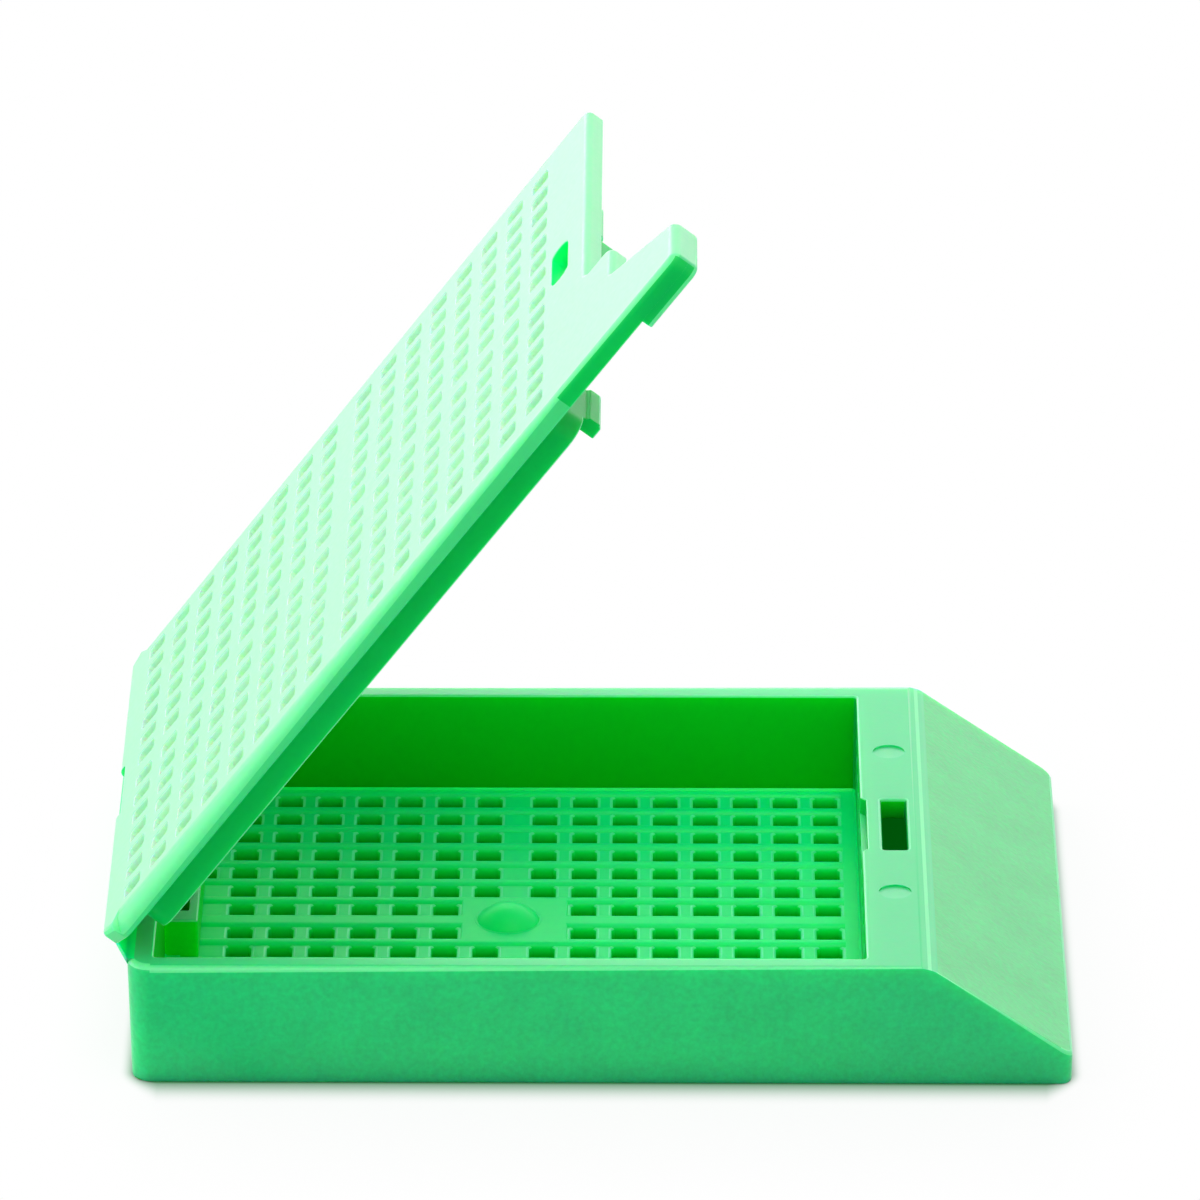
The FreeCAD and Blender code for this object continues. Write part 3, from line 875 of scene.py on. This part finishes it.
def make_tray(tree, finish):
    tray = tray_shell()
    cut(tray, well_cutter(), label_hollow())
    add(tray, film_root())
    channels = channel_cutter(FLOOR - RIB_RISE, FLOOR, CROSSBAR)
    cut(tray, rows_of(channels, tree, finish, 1, TRAY_GRID_X))
    add(tray, centre_pad(), rear_bracket())
    holes = hole_cutter(0.0, FLOOR - RIB_RISE, FLOOR)
    pad_reach = HOLE + BAR
    bracket_reach = BRACKET_WIDTH / 2 + BRACKET_MARGIN
    cut(tray, rows_of(holes, tree, finish, ROWS, TRAY_GRID_X, CROSSBAR, pad_reach, bracket_reach))
    windows = block(
        "window", (-PAST, -DRAIN_WIDTH / 2, FLANGE_UNDERSIDE - DRAIN_HEIGHT),
        (PAST, DRAIN_WIDTH / 2, FLANGE_UNDERSIDE), SOFT_EDGE,
    )
    cut(tray, rows_of(windows, tree, finish, 1, WELL_FRONT + FRONT_WALL / 2))
    cut(
        tray,
        rear_recess(),
        slot_plate(
            "slot", FRONT_SLOT_START, FRONT_SLOT_END, FRONT_SLOT_WIDTH / 2,
            FLANGE_UNDERSIDE, HEIGHT, FRONT_SLOT_CORNER, SLOT_ROUNDING,
        ),
        finger_notch(),
    )
    for side in (-1, 1):
        cut(tray, ejector_mark(MARK_SHIFT + side * MARK_SPACING / 2))
    return tray


# -------- lid

def lid_outline():
    """Points of the closed lid's edge, with its opening tab on the -Y side."""
    half = HALF_WIDTH
    shoulder_x = LID_FRONT + TAB_SHOULDER
    tip_x = LID_FRONT + TAB_REACH
    cut_x = REAR + REAR_CORNER_CUT
    return outline([
        (REAR, -FILM_HALF_WIDTH, 0),
        (cut_x, -half, REAR_CORNER),
        (BEVEL_END, -half, 0),
        (BEVEL_END + BEVEL_FADE, -half, 0),
        (tip_x, -half, TIP_CORNER),
        (tip_x, -half + TAB_TIP_WIDTH, SLANT_CORNER),
        (shoulder_x, -half + TAB_NECK_WIDTH, NECK_CORNER),
        (shoulder_x, -half + TAB_WIDTH, SHOULDER_CORNER),
        (LID_FRONT, -half + TAB_WIDTH, ROOT_CORNER),
        (LID_FRONT, half, FRONT_CORNER),
        (BEVEL_END + BEVEL_FADE, half, 0),
        (BEVEL_END, half, 0),
        (cut_x, half, REAR_CORNER),
        (REAR, FILM_HALF_WIDTH, 0),
    ])


def lid_plate():
    """Plate whose long outer edges fall away in a wide soft bevel, and whose front edges are upright."""
    points = lid_outline()
    steps = inset_directions(points)

    def profile(width, depth):
        """(inset, z) profile of an edge, from the inner side to the outer side."""
        arc = [(width * rise, LID_OUTER - depth * fall) for fall, rise in quarter_turn(8)]
        return [(THIN_EDGE, LID_INNER), (0.0, LID_INNER + THIN_EDGE), *arc]

    upright = profile(FRONT_ROUNDING, FRONT_ROUNDING)
    tip = profile(TIP_ROUNDING, TIP_ROUNDING)
    soft = profile(BEVEL_WIDTH, BEVEL_DEPTH)
    rings = []
    for upright_spot, tip_spot, soft_spot in zip(upright, tip, soft):
        ring = []
        for point, inward in zip(points, steps):
            at_side = abs(point.y) > HALF_WIDTH - SIDE_BAND and REAR + BEVEL_START < point.x <= BEVEL_END
            at_tip = point.x > LID_FRONT + TAB_SHOULDER + TIP_START
            inset, z = soft_spot if at_side else tip_spot if at_tip else upright_spot
            ring.append((*(point + inward * inset), z))
        rings.append(ring)
    return loft("lid", rings)


def lip_frame():
    """Frame under the lid, open at the rear for the claw."""
    corners = rectangle(LIP_REAR, LIP_FRONT, LIP_HALF, LIP_CORNER, LIP_CORNER)
    low = LID_INNER - LIP_DEPTH
    middle = EDGE * ARC_MIDDLE
    profile = [
        (0.0, LID_ROOT), (0.0, low + EDGE), (middle, low + middle), (EDGE, low),
        (LIP - EDGE, low), (LIP - middle, low + middle), (LIP, low + EDGE), (LIP, LID_ROOT),
    ]
    frame_ring = loft("lip", inset_rings(outline(corners), reversed(profile)), closed=True)
    half = BRACKET_WIDTH / 2 + LIP_BRACKET_CLEARANCE
    gap = block(
        "gap", (LIP_REAR - PAST, -half, low - PAST), (LIP_REAR + LIP + LIP_CORNER, half, LID_INNER + PAST),
    )
    return cut(frame_ring, gap)


def lip_tongue(y_middle):
    """Taller tongue on the front lip with a small forward barb."""
    high_x = LIP_FRONT
    low_x = high_x - LIP
    tip = LID_INNER - TONGUE_DEPTH
    section = [
        (low_x, LID_ROOT), (low_x, tip), (high_x, tip), (high_x + TONGUE_BARB, tip + TONGUE_BARB),
        (high_x + TONGUE_BARB, tip + TONGUE_BARB_HEIGHT - TONGUE_BARB), (high_x, tip + TONGUE_BARB_HEIGHT),
        (high_x, LID_ROOT),
    ]
    half = TONGUE_WIDTH / 2
    return prism("tongue", section, y_middle - half, y_middle + half)


def barbed_section(high_x, shank_x, barb_x, catch_z, slope, face, lead_in, back_cut):
    """(x, z) points of a catch that hangs from the closed lid, its barb towards the hinge."""
    tip = catch_z - slope - face - lead_in[1]
    return [
        (high_x, LID_ROOT), (shank_x, LID_ROOT), (shank_x, catch_z),
        (barb_x, catch_z - slope), (barb_x, tip + lead_in[1]), (barb_x + lead_in[0], tip),
        (high_x - back_cut[0], tip), (high_x, tip + back_cut[1]),
    ]


def rear_claw():
    section = barbed_section(
        REAR_SLOT_END - CLAW_FRONT_CLEARANCE, WELL_REAR + CLAW_WALL_CLEARANCE,
        WELL_REAR - CLAW_BITE, HEIGHT - CATCH_HEIGHT - CLAW_CATCH_CLEARANCE, *CLAW_BARB,
    )
    half = REAR_SLOT_WIDTH / 2 - CLAW_SIDE_CLEARANCE
    return prism("claw", section, -half, half)


def front_hook():
    barb_x = FRONT_SLOT_START + HOOK_REAR_CLEARANCE
    section = barbed_section(
        HOOK_HIGH_X, HOOK_SHANK_X, barb_x, FLANGE_UNDERSIDE - HOOK_CATCH_CLEARANCE, *HOOK_BARB,
    )
    return prism("hook", section, -HOOK_HALF, HOOK_HALF)


def thumb_pad():
    """Thicker tip of the opening tab, on the lid's inner side."""
    low = LID_INNER - THUMB_PAD_RISE
    profile = [
        (inset + THUMB_PAD_INSET, z)
        for inset, z in rounded_profile(low, LID_INNER + THUMB_PAD_ROOT, THUMB_PAD_ROUNDING, 0.0)
    ]
    pad = plate("thumb pad", lid_outline(), profile)
    start = LID_FRONT + TAB_REACH - THUMB_PAD_REACH
    rest = block("rest", (REAR - PAST, -HALF_WIDTH - PAST, low - PAST), (start, HALF_WIDTH + PAST, LID_OUTER))
    return cut(pad, rest)


def ring_mark():
    """Thin circular groove cut into the lid's inner face."""
    ring = [Vector((RING_X + RING_RADIUS * x, RING_Y + RING_RADIUS * y)) for x, y in circle(48)]
    floor, mouth = LID_INNER + RING_DEPTH, LID_INNER - PAST
    section = [(RING_WIDTH, mouth), (RING_WIDTH, floor), (0.0, floor), (0.0, mouth)]
    return loft("ring", inset_rings(ring, section), closed=True)


def make_lid(tree, finish):
    lid = lid_plate()
    channels = channel_cutter(LID_INNER + RIB_RISE, LID_INNER, BAR)
    cut(lid, rows_of(channels, tree, finish, 1, LID_GRID_X))
    holes = hole_cutter(LID_OUTER, LID_INNER + RIB_RISE, LID_INNER)
    cut(lid, rows_of(holes, tree, finish, ROWS, LID_GRID_X))
    window_x = HOOK_SHANK_X - HOOK_WINDOW_GAP
    cut(
        lid,
        slot_plate(
            "film window", HINGE.x - PAST, HINGE.x + FILM_WINDOW_LENGTH, FILM_WINDOW_WIDTH / 2,
            LID_INNER, LID_OUTER, SOFT_EDGE, THIN_EDGE,
        ),
        slot_plate(
            "hook window", window_x - HOOK_WINDOW_LENGTH, window_x, HOOK_HALF + HOOK_WINDOW_MARGIN,
            LID_INNER, LID_OUTER, HOOK_WINDOW_CORNER, SOFT_EDGE,
        ),
        ring_mark(),
    )
    tongue_y = LIP_HALF - TONGUE_MARGIN - TONGUE_WIDTH / 2
    add(
        lid, lip_frame(), lip_tongue(-tongue_y), lip_tongue(tongue_y),
        rear_claw(), front_hook(), thumb_pad(),
    )
    return lid


def lid_opening():
    """Transform from the closed lid to its stored place."""
    to_line = Matrix.Translation((HINGE.x, 0, HINGE.z))
    turn = Matrix.Rotation(-REST_ANGLE, 4, "Y")
    return to_line @ turn @ to_line.inverted()


# -------- hinge film

def make_film():
    """Thin strip folded about the hinge line: a flat half on the tray, a bend, a flat half on the lid."""
    thickness = HINGE.z - film_low.z
    sweep = math.pi - REST_ANGLE
    waist = FILM_WAIST / 2
    inner = []
    outer = []

    def station(along, away, reach):
        """One cross line of the strip, at a reach from the hinge line."""
        spot = Vector((HINGE.x, HINGE.z)) + Vector(along) * reach
        half = waist + (FILM_HALF_WIDTH - waist) * reach / FILM_LENGTH
        inner.append((spot, half))
        outer.append((spot + Vector(away) * thickness, half))

    for reach in (FILM_LENGTH, FILM_LENGTH / 2):
        station((1, 0), (0, -1), reach)
    for step in range(BEND_STEPS + 1):
        angle = -math.pi / 2 - sweep * step / BEND_STEPS
        station((1, 0), (math.cos(angle), math.sin(angle)), 0)
    along = Vector((math.cos(REST_ANGLE), math.sin(REST_ANGLE)))
    away = Vector((-along.y, along.x))
    for reach in (FILM_LENGTH / 2, FILM_LENGTH):
        station(along, away, reach)

    window = FILM_WINDOW_WIDTH / 2
    fold_end = 2 + BEND_STEPS
    last = len(inner) - 1
    vertices = [(spot.x, y, spot.y) for spot, half in inner + outer for y in (-half, -window, window, half)]
    faces = []

    def quad(*corners):
        """Face through corners, each given as (0 inside or 1 outside, station, column)."""
        faces.append([(side * (last + 1) + index) * 4 + column for side, index, column in corners])

    for index in range(last):
        after = index + 1
        for column in (0, 2) if index >= fold_end else (0, 1, 2):
            beside = column + 1
            quad((0, index, column), (0, index, beside), (0, after, beside), (0, after, column))
            quad((1, index, column), (1, after, column), (1, after, beside), (1, index, beside))
        for column in (0, 3) if index < fold_end else (0, 1, 2, 3):
            quad((0, index, column), (0, after, column), (1, after, column), (1, index, column))
    for index, columns in ((0, (0, 1, 2)), (fold_end, (1,)), (last, (0, 2))):
        for column in columns:
            beside = column + 1
            quad((0, index, column), (1, index, column), (1, index, beside), (0, index, beside))
    film = new_piece("hinge_film", vertices, faces)
    weld(film)
    with editing(film) as mesh:
        bmesh.ops.recalc_face_normals(mesh, faces=mesh.faces)
    start = Vector((HINGE.x, 0, HINGE.z - thickness))
    end = Vector((HINGE.x + away.x * thickness, 0, HINGE.z + away.y * thickness))
    return film, start, end


# -------- finishes

def moulded_plastic(name, colour, haze, gloss, surface=POLISHED, light=DARK, foot=None):
    """Translucent plastic; its emission is a painted glow that stands in for the light that comes through it
    from behind.

    A foot gives the colour at a lower height that the plain colour fades to from a higher one; it paints
    shade that darkens the colour downwards.
    """
    material = bpy.data.materials.new(name)
    graph = empty_tree(material)
    place = graph.node("ShaderNodeTexCoord", None, None, "Object")
    cloud = graph.node("ShaderNodeTexNoise", None, {"Vector": place, **CLOUD_NOISE}, "Fac")
    fine = graph.node("ShaderNodeTexNoise", None, {"Vector": place, **FINE_NOISE}, "Fac")
    speck = ramp(fine, *NOISE_RANGE)
    shade = ramp(cloud, *NOISE_RANGE) * CLOUD_SHARE + speck * (1 - CLOUD_SHARE)
    grain, mottle = surface
    mixed = fade(
        shade, [channel * (1 - mottle) for channel in colour],
        [min(channel * (1 + mottle), 1) for channel in colour],
    )
    # painted shade: the colour darkens towards the foot
    if foot:
        foot_colour, low_z, high_z = foot
        mixed = fade(ramp(axis(place, 2), low_z * MM, high_z * MM), foot_colour, mixed)
    relief = graph.node("ShaderNodeBump", None, {
        "Height": fine, "Distance": grain, "Strength": 1.0,
    }, "Normal")
    shader = graph.node("ShaderNodeBsdfPrincipled", None, {
        "Base Color": mixed, "Normal": relief,
        "Roughness": ROUGHNESS - ROUGHNESS_SPREAD / 2 + ROUGHNESS_SPREAD * speck,
        "Subsurface Weight": 1.0, "Subsurface Radius": SCATTER, "Subsurface Scale": MM,
        "IOR": REFRACTION, "Specular IOR Level": gloss,
        "Sheen Weight": haze, "Sheen Roughness": SHEEN_ROUGHNESS,
        "Emission Color": (*light, 1.0), "Emission Strength": 1.0,
    })
    graph.node("ShaderNodeOutputMaterial", None, {"Surface": shader})
    return material


def finish_piece(piece, finishes, choose=lambda face: 0, placing=Matrix()):
    """Give each face one of the finishes, smooth the shading, place the piece and scale it to metres."""
    weld(piece)
    mesh = piece.data
    mesh.materials.clear()
    for finish in finishes:
        mesh.materials.append(finish)
    for face in mesh.polygons:
        face.use_smooth = True
        face.material_index = choose(face)
    mesh.set_sharp_from_angle(angle=math.radians(SHARP))
    weights = piece.modifiers.new("weights", "WEIGHTED_NORMAL")
    weights.keep_sharp = True
    applied(piece)
    piece.data.transform(placing)
    piece.data.transform(Matrix.Scale(MM, 4))
    return piece


# Finish indices. FLOOR_FINISH, VIVID and PALE carry painted light, HOLE_WALL and WELL_WALL painted light and
# shade, SHADE and LABEL painted shade, ROUNDED and BAR_EDGE painted highlights.
(
    SMOOTH, GRAINED, LABEL, FLOOR_FINISH, HOLE_WALL, WELL_WALL,
    SHADE, HAZY, PALE, ROUNDED, VIVID, BAR_EDGE,
) = range(12)


def tray_finish(face):
    """Grained outside, vivid with painted light on the floor, deep green with painted bounce light and shade
    on the well's walls, pale with painted highlights on rounded edges.
    """
    x, y, z = face.center
    normal = face.normal
    facing = normal.z
    if x > RIDGE:
        facing = normal.dot(Vector((HEIGHT - TOE_HEIGHT, 0, LABEL_RUN)).normalized())
    in_well = WELL_REAR < x < WELL_FRONT and abs(y) < WELL_HALF
    # well walls: painted bounce light and shade; painted shade on the front wall
    wall = SHADE if normal.x < -MOSTLY else WELL_WALL
    if in_well and z < HEIGHT - 2 * SOFT_EDGE:
        on_bracket = x < BRACKET_FRONT and z > BRACKET_TOP - NEAR
        if on_bracket and normal.z > SLIGHTLY:
            return ROUNDED if normal.z < NEARLY else SMOOTH
        # crossbars' rounded edges: painted highlight
        if z < FLOOR - RIB_RISE + AT and normal.z > MOSTLY and abs(normal.x) > SLIGHTLY:
            return BAR_EDGE
        # floor tops: painted light
        if normal.z > MOSTLY:
            return FLOOR_FINISH
        # hole walls: painted light, with painted shade deeper down
        if z < FLOOR:
            return HOLE_WALL
        # walls beside the bracket: painted light
        if x < BRACKET_FRONT + NEAR and abs(y) < WELL_HALF - NEAR:
            return VIVID
        return wall
    if z > top_z(x) - RIM_BAND:
        # rim top by the film's root: painted light
        if x < REAR + 2 * RIM_ROUNDING + EDGE_BAND and abs(y) < FILM_HALF_WIDTH and normal.z > NEARLY:
            return FLOOR_FINISH
        if WELL_FRONT < x < RIDGE - RIDGE_ROUNDING and abs(normal.x) > MAINLY:
            return SHADE
        if abs(x - RIDGE) < RIDGE_ROUNDING and abs(normal.y) < SLIGHTLY:
            return ROUNDED if RIDGE_SHINE[0] < normal.x < RIDGE_SHINE[1] else SMOOTH
        # rounded edges: painted highlight
        if SLIGHTLY < facing < LEVEL:
            return ROUNDED
        if facing >= LEVEL:
            return LABEL if x > RIDGE else SMOOTH
    outside = abs(y) > HALF_WIDTH - OUTER_BAND or x < REAR + OUTER_BAND or x > TOE - OUTER_BAND
    if outside and abs(normal.z) < PARTLY:
        return GRAINED
    if not outside and AT < z < HEIGHT - 2 * NEAR and abs(normal.z) < MOSTLY:
        return wall
    return SMOOTH


def lid_finish(face):
    """For the closed lid: pale with painted light inside its holes, painted shade on what hangs from it, hazy
    elsewhere.
    """
    x, y, z = face.center
    normal = face.normal
    lip_end = LID_INNER - LIP_DEPTH + 2 * EDGE
    pad_end = LID_INNER - THUMB_PAD_RISE + 2 * NEAR
    if z < (lip_end if x < LID_FRONT else pad_end) and -LEVEL_BELOW < normal.z < -SLIGHTLY:
        return ROUNDED
    if x > LID_FRONT and normal.y < -PARTLY and abs(normal.z) < PARTLY:
        return SHADE
    if abs(y) > HALF_WIDTH - BEVEL_WIDTH and SLIGHTLY < normal.z < NEARLY:
        return ROUNDED
    at_edge = abs(y) > LIP_HALF + NEAR or x > LID_FRONT - EDGE_BAND or x < REAR + EDGE_BAND
    if at_edge or abs(normal.z) > MOSTLY:
        return HAZY
    if z < LID_INNER:
        return SHADE
    # walls through the lid: painted light, near-white in the holes
    return FLOOR_FINISH if x > LIP_FRONT + NEAR else PALE


# -------- studio

def studio_floor():
    """White floor that keeps the shadow near the object, deepens it with a painted green-tinted shadow at the
    tray's edge, glows green under the tray as painted light, and is plain white further off.
    """
    corners = [(-1, -1), (1, -1), (1, 1), (-1, 1)]
    floor = new_piece("floor", [(FLOOR_REACH * x, FLOOR_REACH * y, 0) for x, y in corners], [range(4)])
    material = bpy.data.materials.new("white floor")
    graph = empty_tree(material)
    place = graph.node("ShaderNodeTexCoord", None, None, "Object")
    inset = DRAFT + FOOT_ROUNDING + REAR_CORNER
    past_x = (abs(axis(place, 0)) - (TOE - inset) * MM).math("MAXIMUM", 0.0)
    past_y = (abs(axis(place, 1)) - (HALF_WIDTH - inset) * MM).math("MAXIMUM", 0.0)
    apart = (past_x * past_x + past_y * past_y).math("SQRT")
    endwise = past_x.math("DIVIDE", apart)
    outside = (apart - REAR_CORNER * MM).math("MAXIMUM", 0.0) * (1 + (END_SHADE - 1) * endwise)
    near = ramp(outside, 0.0, FLOOR_RAMP, FLOOR_GLOW - UNDER_TRAY_PAINTED_GLOW, "SMOOTHSTEP")
    far = ramp(outside, FLOOR_RAMP, FLOOR_FADE, 1 - FLOOR_GLOW, "SMOOTHSTEP")
    matt = graph.node("ShaderNodeBsdfDiffuse", None, {
        "Color": fade(ramp(outside, 0.0, FLOOR_RAMP), FLOOR_PAINTED_SHADOW, FLOOR_WHITE),
    })
    lit = graph.node("ShaderNodeEmission", None, {
        "Color": fade(ramp(outside, 0.0, FLOOR_RAMP / 8), PAINTED_GLOW_TINT, WHITE), "Strength": 1.0,
    })
    glow = (UNDER_TRAY_PAINTED_GLOW + near + far) * seen_rays(graph)
    mixed = graph.node("ShaderNodeMixShader", None, {0: glow, 1: matt, 2: lit})
    graph.node("ShaderNodeOutputMaterial", None, {"Surface": mixed})
    floor.data.materials.append(material)


def placed(name, data, place):
    """Object for a lamp or a camera, at a place."""
    holder = bpy.data.objects.new(name, data)
    bpy.context.scene.collection.objects.link(holder)
    holder.location = place
    return holder


def softbox(name, place, aim, width, height, power):
    """Rectangular lamp at a place, facing its aim."""
    lamp = bpy.data.lights.new(name, "AREA")
    lamp.shape = "RECTANGLE"
    lamp.size = width
    lamp.size_y = height
    lamp.energy = power
    holder = placed(name, lamp, place)
    holder.rotation_euler = (Vector(aim) - Vector(place)).to_track_quat("-Z", "Y").to_euler()
    holder.visible_camera = False


def studio():
    """White surroundings and four softboxes: two behind, one at the left, and the key light overhead."""
    world = bpy.data.worlds.new("white surroundings")
    bpy.context.scene.world = world
    graph = empty_tree(world)
    soft, white = (
        graph.node("ShaderNodeBackground", None, {"Color": (*WHITE, 1.0), "Strength": strength})
        for strength in (WORLD_STRENGTH, 1.0)
    )
    mixed = graph.node("ShaderNodeMixShader", None, {0: seen_rays(graph), 1: soft, 2: white})
    graph.node("ShaderNodeOutputWorld", None, {"Surface": mixed})
    for lamp in SOFTBOXES:
        softbox(*lamp)


def camera():
    """Long lens from the front, a little above."""
    data = bpy.data.cameras.new("camera")
    data.lens = LENS
    data.clip_start, data.clip_end = CAMERA_CLIP
    bearing = math.radians(CAMERA_BEARING)
    height = math.radians(CAMERA_HEIGHT)
    back = Vector((
        math.sin(bearing) * math.cos(height), -math.cos(bearing) * math.cos(height), math.sin(height),
    ))
    holder = placed("camera", data, CAMERA_AIM + back * CAMERA_DISTANCE)
    tilt = math.radians(CAMERA_HEIGHT - CAMERA_TILT_BACK)
    turn = math.radians(CAMERA_BEARING + CAMERA_TURN)
    holder.rotation_euler = (math.pi / 2 - tilt, 0, turn)
    bpy.context.scene.camera = holder


# -------- assembly

finishes = [
    moulded_plastic("smooth green", GREEN, 0.6, 0.5),
    moulded_plastic("grained green", GREEN, 0.35, 0.5, GRAIN),
    moulded_plastic("label green with painted shade", LABEL_PAINTED_SHADE_GREEN, 0.4, 0.5, LABEL_GRAIN),
    moulded_plastic("floor green with painted light", FLOOR_PAINTED_LIGHT_GREEN, 0.0, 0.13, light=FLOOR_PAINTED_GLOW),
    moulded_plastic("hole green with painted light and shade", HOLE_PAINTED_LIGHT_GREEN, 0.0, 0.12, light=HOLE_PAINTED_GLOW, foot=HOLE_PAINTED_SHADE),
    moulded_plastic("wall green with painted bounce light and shade", WALL_PAINTED_BOUNCE_GREEN, 0.0, 0.12, foot=WALL_PAINTED_SHADE),
    moulded_plastic("shaded green", SHADE_GREEN, 0.0, 0.15),
    moulded_plastic("hazy green", GREEN, 1.0, 1.0),
    moulded_plastic("pale green with painted light", PALE_PAINTED_LIGHT_GREEN, 1.0, 0.5),
    moulded_plastic("edge green, painted highlight", EDGE_PAINTED_HIGHLIGHT_GREEN, 0.5, 0.5),
    moulded_plastic("vivid green with painted light", VIVID_PAINTED_LIGHT_GREEN, 0.0, 0.12),
    moulded_plastic("bar edge green, painted highlight", BAR_EDGE_PAINTED_HIGHLIGHT_GREEN, 0.0, 0.3, light=BAR_EDGE_PAINTED_GLOW),
]
cutter_rows = row_tree()

tray = finish_piece(make_tray(cutter_rows, finishes[SMOOTH]), finishes, tray_finish)
tray.name = "tray_moulding"
lid = finish_piece(make_lid(cutter_rows, finishes[SMOOTH]), finishes, lid_finish, lid_opening())
lid.name = "lid_moulding"
film, film_start, film_end = make_film()
# the film takes the same painted light
film = finish_piece(film, [finishes[FLOOR_FINISH]])

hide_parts("tray")
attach(tray, "tray_body")
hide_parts("lid")
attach(lid, "lid_body")
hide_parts("living_hinge")
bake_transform(film)

studio_floor()
studio()
camera()
bpy.context.scene.view_settings.view_transform = "Standard"
